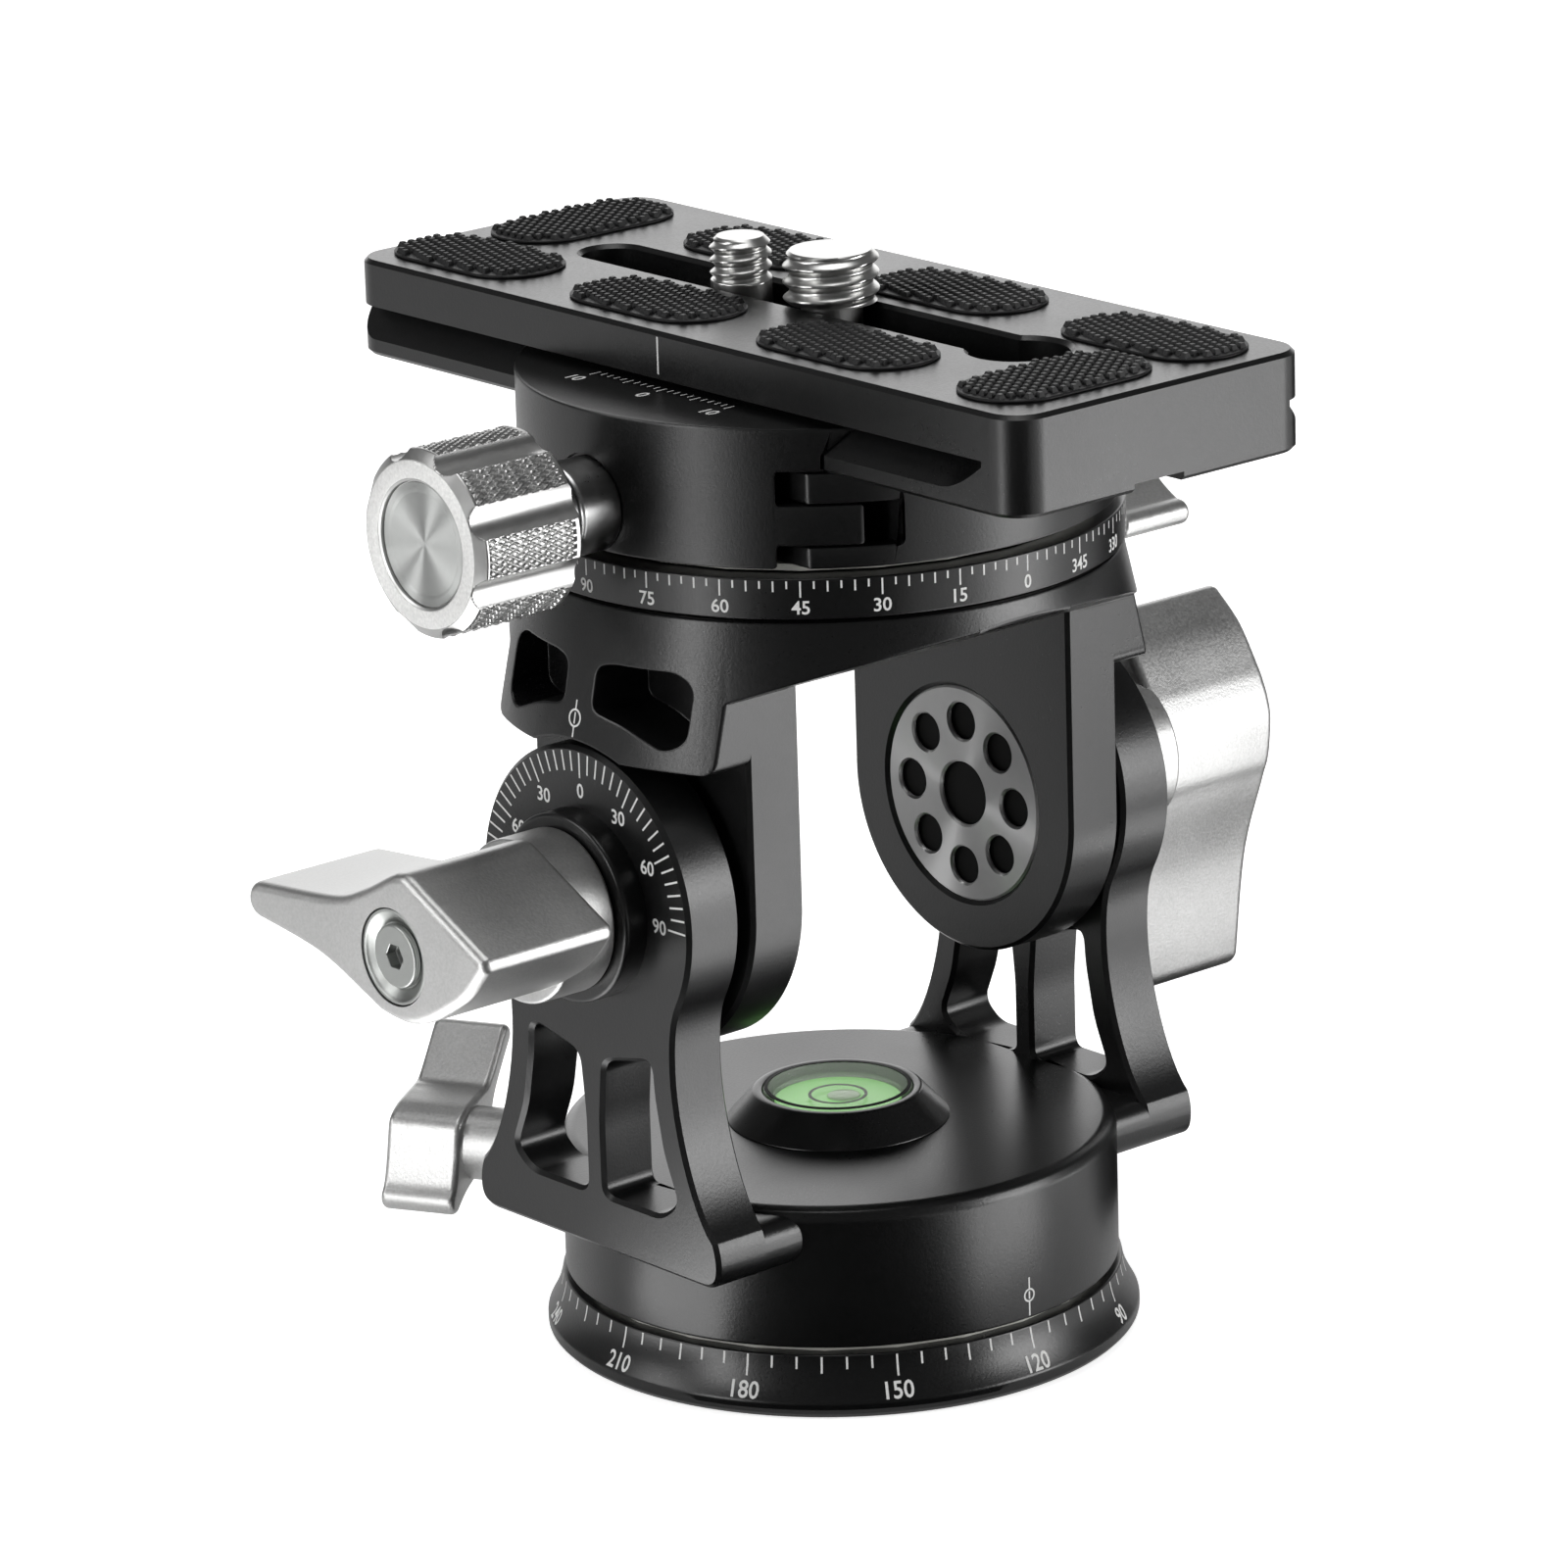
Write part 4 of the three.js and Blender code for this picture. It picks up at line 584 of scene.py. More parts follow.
body_index = index_mark(
    "body_index", lambda z: BODY_RADIUS, -90, [(7.0, 8.5), (8.75, 9.55), (9.8, 11.0)], 0.62, 0.18)
fitted(body_index, pale, "pan_body")

# -------------------- bubble level
# A round level pressed in the middle of the body: a black turned ring with a sloping side, a
# clear capsule with a printed circle, green fluid under it and one bubble.

LEVEL_TOP = 24.2
VIAL_RADIUS = 7.55

housing = turned("level_ring", [
    (0, 19.9), (10.55, 19.9), (10.55, BODY_TOP), (11.3, BODY_TOP), (8.5, LEVEL_TOP - 0.05),
    (8.0, LEVEL_TOP), (VIAL_RADIUS + 0.05, LEVEL_TOP - 0.1), (VIAL_RADIUS + 0.05, 20.9), (0, 20.9),
], 0.22)
fitted(housing, black, "pan_body", "level_housing")

level_green_painted_glow = finish("green_fluid_painted_glow", (0.28, 0.72, 0.2), 0.0, 0.3, 400, 0.004, 0.1, 0.04)
# The fluid glows a little of its own, though it is no lamp: a painted glow that keeps it bright under the
# capsule.
tuned(level_green_painted_glow, Emission_Color=(0.28, 0.72, 0.18, 1), Emission_Strength=0.45)
fluid = turned("level_fluid", [(0, 21.05), (6.4, 21.05), (6.4, 22.95), (0, 22.95)], 0.15, 128)
fitted(fluid, level_green_painted_glow, "pan_body", "level_disc")

bubble_skin = finish("bubble", (0.62, 0.86, 0.5), 0.0, 0.12, 300, 0.002, 0.05, 0.03)
bubble = turned("level_bubble", [
    (0, 22.9), (1.3, 22.92), (1.75, 23.05), (1.6, 23.22), (0.9, 23.3), (0, 23.32),
], 0.2, 64, centre=(0.5, -0.3, 0))
fitted(bubble, bubble_skin, "pan_body")

print_and_painted_shade = finish("black_print_and_painted_shade", (0.004, 0.004, 0.004), 0.0, 0.6, 900, 0.002, 0.1, 0.03, 0.1)
circle = turned("circle", [(2.68, 23.3), (3.0, 23.3), (3.0, 23.36), (2.68, 23.36)], 0, 96)
edge_line = turned("edge_line", [(7.05, 24.28), (7.4, 24.22), (7.42, 24.3), (7.05, 24.36)], 0, 128)
level_circle = joined("level_circle", [circle, edge_line])
fitted(level_circle, print_and_painted_shade, "pan_body")

clear = finish("clear_capsule", (0.86, 0.95, 0.83), 0.0, 0.05, 200, 0.001, 0.02, 0.02)
tuned(clear, Alpha=0.16)
capsule = turned("level_capsule", [
    (6.6, 21.05), (VIAL_RADIUS, 21.05), (VIAL_RADIUS, 24.1), (7.1, 24.3), (5.0, 24.42), (2.5, 24.52),
    (0, 24.55), (0, 23.4), (6.6, 23.4),
], 0.15, 128)
fitted(capsule, clear, "pan_body", "level_vial")

# -------------------- tilting yoke
# The yoke hangs between the arms: a round bell on top, two D-shaped legs, and a skirt over each
# arm with a pair of windows. Milled from one block of aluminium and black anodised.

LEG_INNER = 17.6
LEG_OUTER = 24.2
LEG_HALF = 16.3
YOKE_TOP = 81.0
YOKE_TOP_RADIUS = 29.7
YOKE_HEM_RADIUS = 32.85
SKIRT_BOTTOM = 66.3
YOKE_ROOF = 73.2
RIM_HEIGHT = 78.6
CUT_WIDTH = 13.2
CUT_TOP = 75.7
CUT_HEIGHT = 7.5
BOLT_HOLE = 4.05
HUB_RADIUS = 11.9
UPPER_HEIGHT = 77.6
SKIRT_WINDOW = [
    (0.16, 0.9), (0.16, 0.36), (0.48, 0.25), (0.84, 0), (1, 0.14), (1, 0.84), (0.86, 1), (0.3, 0.98),
]


def bell_radius(height):
    share = (YOKE_TOP - height) / (YOKE_TOP - SKIRT_BOTTOM)
    return YOKE_TOP_RADIUS + share * (YOKE_HEM_RADIUS - YOKE_TOP_RADIUS)


def bell(name):
    return turned(name, [
        (0, SKIRT_BOTTOM), (YOKE_HEM_RADIUS, SKIRT_BOTTOM), (YOKE_TOP_RADIUS, YOKE_TOP), (0, YOKE_TOP),
    ], 0, 224)


rim_radius = bell_radius(RIM_HEIGHT + 0.5)
yoke = shaped(bell("yoke_skin"), [slab("slice", [[
    (-LEG_HALF, YOKE_ROOF), (LEG_HALF, YOKE_ROOF), (rim_radius - 0.5, RIM_HEIGHT),
    (rim_radius, RIM_HEIGHT + 0.5), (rim_radius + 1, YOKE_TOP + 1), (-rim_radius - 1, YOKE_TOP + 1),
    (-rim_radius, RIM_HEIGHT + 0.5), (0.5 - rim_radius, RIM_HEIGHT),
]], -40, 40, 0)], "INTERSECT")
for side in (-1, 1):
    skirt = slab("skirt", [soft_polygon([
        (-LEG_HALF, RIM_HEIGHT), (-LEG_HALF, SKIRT_BOTTOM), (LEG_HALF, SKIRT_BOTTOM), (LEG_HALF, RIM_HEIGHT),
    ], 1.4)], *span(side, LEG_INNER + 1, 40), 0)
    shaped(skirt, [bell("hem")], "INTERSECT")
    shaped(skirt, [rod(HEAD_RADIUS + 0.9, *span(side, LEG_OUTER, 40), *TILT_AXIS, 256)])
    shaped(yoke, [skirt], "UNION")
    for edge in (-1, 1):
        window = slab("window", [soft_polygon([
            (edge * out * CUT_WIDTH, CUT_TOP - (1 - up) * CUT_HEIGHT) for out, up in SKIRT_WINDOW
        ], 1.1)], *span(side, LEG_OUTER + 0.3, 41), 0)
        shaped(yoke, [window])
broken_edges(yoke, 0.28)
for side in (-1, 1):
    outline = [(LEG_HALF, RIM_HEIGHT), (-LEG_HALF, RIM_HEIGHT)] + arc(0, TILT_HEIGHT, LEG_HALF, 180, 360, 96)
    leg = slab("leg", [outline], *span(side, LEG_INNER, LEG_OUTER), 0.4)
    recess = turned("recess", [(0, 15), (11.6, 15), (11.6, LEG_INNER), (11.2, LEG_INNER + 0.4), (11.2, 19.5),
                               (10, 19.5), (10, 22.5), (0, 22.5)], 0, 128, *TILT_AXIS)
    if side < 0:
        recess.data.transform(Matrix.Diagonal((-1, 1, 1, 1)))
        recess.data.flip_normals()
    shaped(leg, [recess])
    shaped(leg, [rod(BOLT_HOLE, *span(side, 15, 30), *TILT_AXIS)])
    shaped(yoke, [leg], "UNION")
shaped(yoke, [rod(HUB_RADIUS, 80, 85.35, sides=128, ease=0.2)], "UNION")
shaped(yoke, [rod(8.15, 70, 90), rod(12.2, 70, 75.25), rod(2.15, 0, 40, "X", (0, 0, UPPER_HEIGHT))])
fitted(yoke, black, "yoke", "yoke", sharp=30)

yoke_index = index_mark("yoke_index", bell_radius, 180, [(67.9, 68.9), (69.2, 70.3), (70.6, 71.5)], 0.8, 0.2)
fitted(yoke_index, pale, "yoke")

# -------------------- turntable scale ring
# A turned ring pressed over the yoke's hub, with a step that draws a dark line under it. Its
# rim has a mark every 2.5 degrees and a figure every 15, cut by laser.

RING_RADIUS = 30.0
RING_TOP = 85.4

ring = turned("scale_ring_skin", [
    (HUB_RADIUS + 0.05, YOKE_TOP), (29.0, YOKE_TOP), (29.0, YOKE_TOP + 0.4), (RING_RADIUS, YOKE_TOP + 0.4),
    (RING_RADIUS, RING_TOP), (HUB_RADIUS + 0.05, RING_TOP),
], 0.18, 224)
fitted(ring, black, "yoke", "scale_ring")

ring_marks = []
for step in range(144):
    value = step * 2.5
    bottom = 83.6 if value % 15 == 0 else 84.15 if value % 5 == 0 else 84.45
    lie = round_the_rim(lambda z: RING_RADIUS, 270 - value)
    ring_marks.append((stroke(0.17, bottom, 85.2, 1), lie))
    if value % 15 == 0:
        ring_marks.append((lifted(numeral(str(int(value)), 1.35), 82.6), lie))
ring_scale = scale_marks("turntable_scale", ring_marks)
fitted(ring_scale, pale, "yoke")

# -------------------- pierced discs
# A polished aluminium disc closes each leg over the tilt bolt. Eight drilled holes ring a
# larger one, and its face is turned, so that light fans out from the middle.

DISC_RADIUS = 11.15
EYE_RADIUS = 3.3
HOLE_CIRCLE = 7.6
HOLE_RADIUS = 1.95
WALL_INNER = 9.95


def lathe_face(name, colour, roughness, grain, depth, cloud, pull):
    """Metal with a lathe's fine rings round the X direction, on which light fans out from the middle."""
    material = finish(name, colour, 1.0, roughness, grain, depth, cloud, 0.04)
    tree = material.node_tree
    shader = tuned(material, Anisotropic=pull, Anisotropic_Rotation=0.25)
    rings = node(tree, "Tangent")
    rings.direction_type, rings.axis = "RADIAL", "X"
    wired(tree, (rings, "Tangent", shader, "Tangent"))
    return material


brushed_disc = lathe_face("turned_disc", (0.42, 0.42, 0.42), 0.46, 900, 0.004, 0.05, 0.94)
for side, hand in ((-1, "left"), (1, "right")):
    holes = [arc(0, TILT_HEIGHT, EYE_RADIUS, 0, 356, 60)]
    for k in range(8):
        across, up = (HOLE_CIRCLE * share(math.radians(45 * k)) for share in (math.sin, math.cos))
        holes.append(arc(across, TILT_HEIGHT + up, HOLE_RADIUS, 0, 353, 48))
    web = slab("web", [arc(0, TILT_HEIGHT, DISC_RADIUS, 0, 358, 160), *holes],
               *span(side, LEG_INNER + 0.2, LEG_INNER + 0.8), 0.2)
    wall = slab("wall", [
        arc(0, TILT_HEIGHT, radius, 0, 358, 160) for radius in (DISC_RADIUS - 0.05, WALL_INNER)
    ], *span(side, LEG_INNER + 0.7, LEG_INNER + 1.9), 0.1)
    disc = joined(f"{hand}_disc_skin", [web, wall])
    fitted(disc, brushed_disc, "yoke", f"{hand}_pierced_disc")
    # A flat black disc just behind the holes is painted shade: it makes the holes look dark and deep. Its
    # material is also the level's real black print.
    painted_shade = rod(WALL_INNER - 0.05, *span(side, LEG_INNER + 0.85, LEG_INNER + 1.1), *TILT_AXIS)
    painted_shade.name = f"{hand}_disc_painted_shade"
    fitted(painted_shade, print_and_painted_shade, "yoke")

# -------------------- big wing knobs
# The two knobs that lock the tilt: zinc-aluminium castings, blasted and clear coated, each with
# one long blade and a short tip. A dished washer and a socket screw sit in the outer face.

WING_TOP = [
    (0.435, 0.453), (0.217, 0.651), (0.02, 0.93), (-0.07, 0.985), (-0.145, 0.99), (-0.22, 0.945),
    (-0.32, 0.858),
]
WING_TIP = [(-0.978, 0.326), (-1.02, 0.26), (-1.0, 0.16)]
WING_BELLY = [
    (-0.785, -0.285), (-0.49, -0.68), (-0.36, -0.82), (-0.23, -0.92), (-0.072, -0.97), (0.109, -0.91),
    (0.217, -0.761), (0.522, -0.358),
]
HUB_START = 34.65
KNOB_FACE = 55.5
BIG_DEPTH = 16.1


def through(points, steps=10):
    """A smooth curve through all the points."""
    controls = [Vector(point) for point in points]
    controls = [controls[0]] + controls + [controls[-1]]
    path = []
    for a, b, c, d in zip(controls, controls[1:], controls[2:], controls[3:]):
        for k in range(steps):
            t = k / steps
            point = b + (c - a) * 0.5 * t + (a * 2 - b * 5 + c * 4 - d) * 0.5 * t * t
            point += (b * 3 - a - c * 3 + d) * 0.5 * t * t * t
            path.append(tuple(point))
    return path + [tuple(controls[-1])]


def wing_outline(blade, short, peak, belly, end, hand):
    """The side of a big wing: a round-ended blade one way and a short soft tip the other."""
    def at(share):
        u, v = share
        return u * (blade if u > 0 else short), hand * v * (peak if v > 0 else belly)
    centre = (blade - end, hand * 0.105 * peak)
    path = through([(centre[0], centre[1] + hand * end), *map(at, WING_TOP)])
    tip = [*map(at, WING_TIP)]
    path += [tip[0]] + bend(tip, 6)
    path += through([tip[-1], *map(at, WING_BELLY), (centre[0], centre[1] - hand * end)])
    path += arc(*centre, end, -90 * hand, 90 * hand, 14)[1:]
    return path


def wing(name, outline, hub, depth, neck, soft, bore, bore_depth):
    """A wing knob in its own frame: turning axis along X, hub at 0, face outward, blade along Y."""
    knob = slab(name, [outline], hub, hub + depth, soft, "X", 4)
    shaped(knob, [rod(neck, 0, hub + 1, "X", ease=0.4)], "UNION")
    return shaped(knob, [rod(bore, -1, bore_depth, "X")])


silver = finish("blasted_silver", (0.47, 0.47, 0.466), 1.0, 0.42, 3400, 0.034, 0.16, 0.08)
polished = finish("polished_screw", (0.52, 0.52, 0.51), 1.0, 0.3, 1500, 0.002, 0.04, 0.03)
turned_steel = finish("turned_steel", (0.34, 0.35, 0.34), 1.0, 0.38, 1800, 0.004, 0.06, 0.05)
big_hub = KNOB_FACE - BIG_DEPTH - HUB_START
for side, hand, turn, blade, word in (
    (-1, -1, (0, math.pi, 0), 23.0, "left"),
    (1, 1, (-math.pi / 2, 0, 0), 27.0, "right"),
):
    spot = Matrix.Translation((side * HUB_START, 0, TILT_HEIGHT)) @ Euler(turn).to_matrix().to_4x4()
    face = big_hub + BIG_DEPTH
    outline = wing_outline(blade, 13.8, 8.6, 6.7, 1.85, hand)
    knob = wing(f"{word}_wing_skin", outline, big_hub, BIG_DEPTH, 8.2, 1.0, 4.15, face - 8)
    shaped(knob, [rod(4.88, face - 2.9, face + 2, "X"), rod(1.65, 0, face, "X")])
    knob.data.transform(spot)
    fitted(knob, silver, f"{word}_knob", f"{word}_wing_knob", 40)
    washer = turned(f"{word}_washer_skin", [
        (1.65, face - 2.9), (4.74, face - 2.9), (4.74, face - 0.12), (4.45, face - 0.12), (4.2, face - 0.35),
        (3.3, face - 1.0), (1.65, face - 1.0),
    ], 0.1, 96, "X")
    washer.data.transform(spot)
    fitted(washer, turned_steel, f"{word}_knob", f"{word}_knob_washer")
    screw = turned(f"{word}_screw_skin", [
        (0, face - 6.8), (1.6, face - 6.8), (1.6, face - 1.0), (3.15, face - 1.0), (3.15, face - 0.22),
        (0, face - 0.22),
    ], 0.3, 96, "X")
    shaped(screw, [rod(1.3, face - 1.4, face, "X", sides=6)])
    broken_edges(screw, 0.06, 1)
    screw.data.transform(spot)
    fitted(screw, turned_steel, f"{word}_knob", f"{word}_knob_screw")

# -------------------- small lock knobs
# The same casting, smaller: one on a slanting radius of the body locks the pan, and one on the
# yoke locks the turntable. Each is pressed on a steel stud.

LIP_TOP_SHARES = [
    (0.478, 0.19), (0.343, 0.357), (0.224, 0.595), (0.067, 0.88), (-0.146, 1.0), (-0.326, 0.786),
    (-0.539, 0.452), (-0.753, 0.18),
]
LIP_BELLY_SHARES = [
    (-0.62, -0.57), (-0.38, -0.76), (-0.11, -0.99), (0.09, -0.98), (0.24, -0.69), (0.478, -0.357),
]
SMALL_END = 1.1
SMALL_END_RISE = 0.1
LIP_RADIUS = 1.3
LIP_DROP = 0.8
SMALL_SOFT = 0.62
BORE_SHORT = 3
REAR_HEIGHT = 14.3
REAR_BEARING = 118.5
REAR_ROLL = 141
REAR_START = 28.3
REAR_REACH = 48.0 - REAR_START
REAR_DEPTH = 8.1
UPPER_FACE = 43.0
UPPER_DEPTH = 9.0
UPPER_NECK = 3.5


def lipped_outline(blade, tip, peak, belly, hand, shift=(0, 0)):
    """The side of a small knob: a swelling round the screw, a flat blade and a rolled lip."""
    def at(share):
        u, v = share
        return shift[0] + u * (blade if u > 0 else tip), hand * (shift[1] + v * (peak if v > 0 else belly))
    end = (shift[0] + blade - SMALL_END, hand * (shift[1] + SMALL_END_RISE))
    lip = (shift[0] - tip + LIP_RADIUS, hand * (shift[1] - LIP_DROP))
    path = through([(end[0], end[1] + hand * SMALL_END), *map(at, LIP_TOP_SHARES),
                    (lip[0], lip[1] + hand * LIP_RADIUS)])
    path += arc(*lip, LIP_RADIUS, 90 * hand, 270 * hand, 16)[1:]
    path += through([path[-1], *map(at, LIP_BELLY_SHARES), (end[0], end[1] - hand * SMALL_END)])
    path += arc(*end, SMALL_END, -90 * hand, 90 * hand, 14)[1:]
    return path


rear_outline = lipped_outline(13.4, 8.9, 4.2, 4.4, -1, (0.44, 0.54))
rear = wing("rear_lock_skin", rear_outline, REAR_REACH - REAR_DEPTH, REAR_DEPTH, 3.8, SMALL_SOFT, 2.0,
            REAR_REACH - BORE_SHORT)
rear.data.transform(
    Matrix.Translation((0, 0, REAR_HEIGHT)) @ Matrix.Rotation(math.radians(REAR_BEARING), 4, "Z")
    @ Matrix.Translation((REAR_START, 0, 0)) @ Matrix.Rotation(math.radians(REAR_ROLL), 4, "X"))
fitted(rear, silver, "rear_lock", "rear_lock_knob", sharp=40)

upper_start = bell_radius(UPPER_HEIGHT - UPPER_NECK) + 0.3
upper_reach = UPPER_FACE - upper_start
upper = wing("upper_lock_skin", lipped_outline(12.6, 7.6, 3.5, 4.2, 1), upper_reach - UPPER_DEPTH, UPPER_DEPTH,
             UPPER_NECK, SMALL_SOFT, 2.0, upper_reach - BORE_SHORT)
upper.data.transform(Matrix.Translation((upper_start, 0, UPPER_HEIGHT)))
fitted(upper, silver, "upper_lock", "upper_lock_knob", sharp=40)

# -------------------- clamp body and jaw
# A round aluminium block, sawn through by a stepped joint into a fixed body and a sliding jaw,
# with a dovetail channel across it. The jaw's top has a small scale in millimetres.

CLAMP_RADIUS = 29.6
CLAMP_BOTTOM = 86.2
CLAMP_TOP = 100.0
CLAMP_FLOOR = 95.6
SCREW_HEIGHT = 90.6
SCREW_AXIS = ("X", (0, 0, SCREW_HEIGHT))
SCREW_HOLE = 2.65
PIN_PLACE = 13.5
SPRING_PLACE = 9
PLATE_HALF = 19.0
LIP_TOP = 97.3
GROOVE = 2.8


def clamp_block(name):
    block = turned(name, [
        (0, CLAMP_BOTTOM), (CLAMP_RADIUS, CLAMP_BOTTOM), (CLAMP_RADIUS, CLAMP_TOP), (0, CLAMP_TOP),
    ], 0, 224)
    lip, lip_z = PLATE_HALF - GROOVE + 0.05, LIP_TOP + GROOVE
    wall = PLATE_HALF + 0.05
    return shaped(block, [slab("channel", [[
        (-wall, CLAMP_FLOOR), (wall, CLAMP_FLOOR), (wall, LIP_TOP), (lip, lip_z), (lip, 102), (-lip, 102),
        (-lip, lip_z), (-wall, LIP_TOP),
    ]], -40, 40, 0, "Y")])


body_zone = [
    (40, 80), (40, 110), (0, 110), (0, CLAMP_FLOOR), (-20.3, CLAMP_FLOOR), (-20.3, 92.55), (-12.9, 92.55),
    (-12.9, 88.35), (-20.3, 88.35), (-20.3, 80),
]
jaw_zone = [
    (-40, 80), (-22.3, 80), (-22.3, 88.45), (-16, 88.45), (-16, 92.45), (-22.3, 92.45), (-22.3, 95.7),
    (0, 95.7), (0, 110), (-40, 110),
]
clamp_body = shaped(clamp_block("clamp_body_skin"), [slab("zone", [body_zone], -40, 40, 0, "Y")], "INTERSECT")
broken_edges(clamp_body, 0.32)
shaped(clamp_body, [rod(SCREW_HOLE, -25, 1.5, *SCREW_AXIS), rod(6.05, 80, 87.85)])
for y in (-1, 1):
    shaped(clamp_body, [rod(1.55, -25, -5.95, "X", (0, y * PIN_PLACE, SCREW_HEIGHT)),
                        rod(1.9, -25, -6.5, "X", (0, y * SPRING_PLACE, SCREW_HEIGHT))])
fitted(clamp_body, black, "turntable", "clamp_body")

jaw = shaped(clamp_block("clamp_jaw_skin"), [slab("zone", [jaw_zone], -40, 40, 0, "Y")], "INTERSECT")
broken_edges(jaw, 0.32)
shaped(jaw, [rod(SCREW_HOLE, -40, 0, *SCREW_AXIS), rod(5.0, -40, -29.1, *SCREW_AXIS)])
shaped(jaw, [rod(1.65, -23.3, 0, "X", (0, y * PIN_PLACE, SCREW_HEIGHT)) for y in (-1, 1)])
fitted(jaw, black, "jaw", "clamp_jaw")


def on_jaw_top(x, y):
    """How a mark lies on the jaw's top, its head towards the plate, read from the knob's side."""
    return lambda u, v, w: (x + v, y - u, CLAMP_TOP + w)


jaw_marks = []
for step in range(-10, 11):
    long = 1.35 if step % 5 == 0 else 0.8
    jaw_marks.append((stroke(0.15, -long, 0, 1), on_jaw_top(-19.15, step)))
for step, word in ((-10, "10"), (0, "0"), (10, "10")):
    jaw_marks.append((numeral(word, 1.6), on_jaw_top(-22.2, step)))
jaw_scale = scale_marks("jaw_scale", jaw_marks)
fitted(jaw_scale, pale, "jaw")

# -------------------- clamp knob
# A turned aluminium knob on the clamp screw. Eight smooth flutes part eight knurled panels, the
# face has a spun recess, and a darker stepped neck runs into the jaw.

KNOB_RADIUS = 9.2
KNOB_BACK = 37.5
KNOB_END = 50.0
FLUTE_RADIUS = 2.2
FLUTE_CIRCLE = 10.45
KNURL_LINES = 80
KNURL_LEAN = 3.05
KNURL_DEPTH = 0.3
AROUND, ALONG = 880, 100


def knurled_radius(turn, x):
    """Radius of the knob at a turn about its axis and a distance out from the head's middle."""
    step = math.radians(45)
    off = (turn + step / 2) % step - step / 2
    rim = KNOB_RADIUS
    if x < KNOB_BACK + 0.5:
        rim -= (KNOB_BACK + 0.5 - x) * 0.9
    if x > KNOB_END - 0.8:
        rim -= (x - KNOB_END + 0.8) * 1.25
    chord = FLUTE_RADIUS ** 2 - (FLUTE_CIRCLE * math.sin(abs(off) - step / 2)) ** 2
    flute = rim
    if chord > 0:
        flute = FLUTE_CIRCLE * math.cos(abs(off) - step / 2) - math.sqrt(chord)
    if flute < rim:
        return flute
    reach = min(1, max(0, (x - KNOB_BACK - 0.9) / 0.2), max(0, (KNOB_END - 1.0 - x) / 0.2))
    edge = min(1, max(0, (math.radians(12.1) - abs(off)) / math.radians(0.4)))
    first = abs((turn * KNURL_LINES / (2 * math.pi) + x * KNURL_LEAN / 4) % 1 - 0.5) * 2
    second = abs((turn * KNURL_LINES / (2 * math.pi) - x * KNURL_LEAN / 4) % 1 - 0.5) * 2
    groove = max(0, 1 - min(first, second) / 0.55)
    return rim - KNURL_DEPTH * groove * reach * edge


def knob_ring(x, plain_radius=0):
    """Points round the clamp screw, on the knurled side where no radius is given."""
    ring = []
    for k in range(AROUND):
        turn = 2 * math.pi * k / AROUND
        radius = plain_radius or knurled_radius(turn, x)
        ring.append((-x, radius * math.sin(turn), SCREW_HEIGHT + radius * math.cos(turn)))
    return ring


verts, faces = [], []
for row in range(ALONG + 1):
    verts += knob_ring(KNOB_BACK + (KNOB_END - KNOB_BACK) * row / ALONG)
for row in range(ALONG):
    faces += band(row * AROUND, (row + 1) * AROUND, AROUND)
for row, rings in (
    (0, [(KNOB_BACK, 5.4), (KNOB_BACK, 4.7)]),
    (ALONG, [(KNOB_END, 6.35), (KNOB_END - 0.12, 6.15), (KNOB_END - 0.5, 6.1), (KNOB_END - 0.55, 5.95)]),
):
    last = row * AROUND
    for x, radius in rings:
        faces += band(last, len(verts), AROUND)
        last = len(verts)
        verts += knob_ring(x, radius)
    faces.append(tuple(range(last, last + AROUND)))
clamp_knob = solid("clamp_knob_skin", verts, faces)
turned_silver = finish("turned_silver", (0.46, 0.46, 0.455), 1.0, 0.35, 1400, 0.006, 0.05, 0.05)
fitted(clamp_knob, turned_silver, "clamp_knob", "clamp_knob", sharp=24)

neck_metal = finish("neck_metal", (0.4, 0.4, 0.4), 1.0, 0.3, 1400, 0.006, 0.06, 0.05)
neck = turned("clamp_knob_neck", [
    (2.55, -29.15), (4.7, -29.15), (4.7, -33.6), (4.6, -33.8), (4.6, -34.1), (4.7, -34.3), (4.7, -37.6),
    (2.55, -37.6),
], 0.15, 128, *SCREW_AXIS)
fitted(neck, neck_metal, "clamp_knob")

spun = lathe_face("spun_recess", (0.5, 0.51, 0.5), 0.48, 1400, 0.003, 0.04, 0.95)
recess_face = turned("clamp_knob_face", [
    (0, -49.47), (5.0, -49.52), (5.3, -49.6), (5.98, -49.62), (5.98, -49.2), (0, -49.2),
], 0.05, 192, *SCREW_AXIS)
fitted(recess_face, spun, "clamp_knob")

blasted_rim = finish("blasted_rim", (0.74, 0.74, 0.73), 1.0, 0.52, 3000, 0.05, 0.2, 0.1)
face_ring = turned("clamp_knob_rim", [
    (6.42, -49.9), (6.42, -50.03), (8.12, -50.03), (8.12, -49.9),
], 0.05, 192, *SCREW_AXIS)
fitted(face_ring, blasted_rim, "clamp_knob")

# -------------------- camera plate
# A long milled plate, black anodised: dovetail edges for the clamp, one slot with a keyhole at
# the end for the camera screws, and a hidden pocket below for their heads.

PLATE_LENGTH = 49.6
PLATE_TOP = 105.4
SLAB_BOTTOM = 100.7
WAIST = PLATE_HALF - GROOVE
SLOT_HALF = 3.25
KEYHOLE = 4.9
KEYHOLE_Y = -29.5
CUTTER = 8
GROOVE_STOP = -38.7


def soft_rectangle(half_x, half_y, corner, steps=12):
    path = []
    for x, y, start in ((1, 1, 0), (-1, 1, 90), (-1, -1, 180), (1, -1, 270)):
        path += arc(x * (half_x - corner), y * (half_y - corner), corner, start, start + 90, steps)
    return path


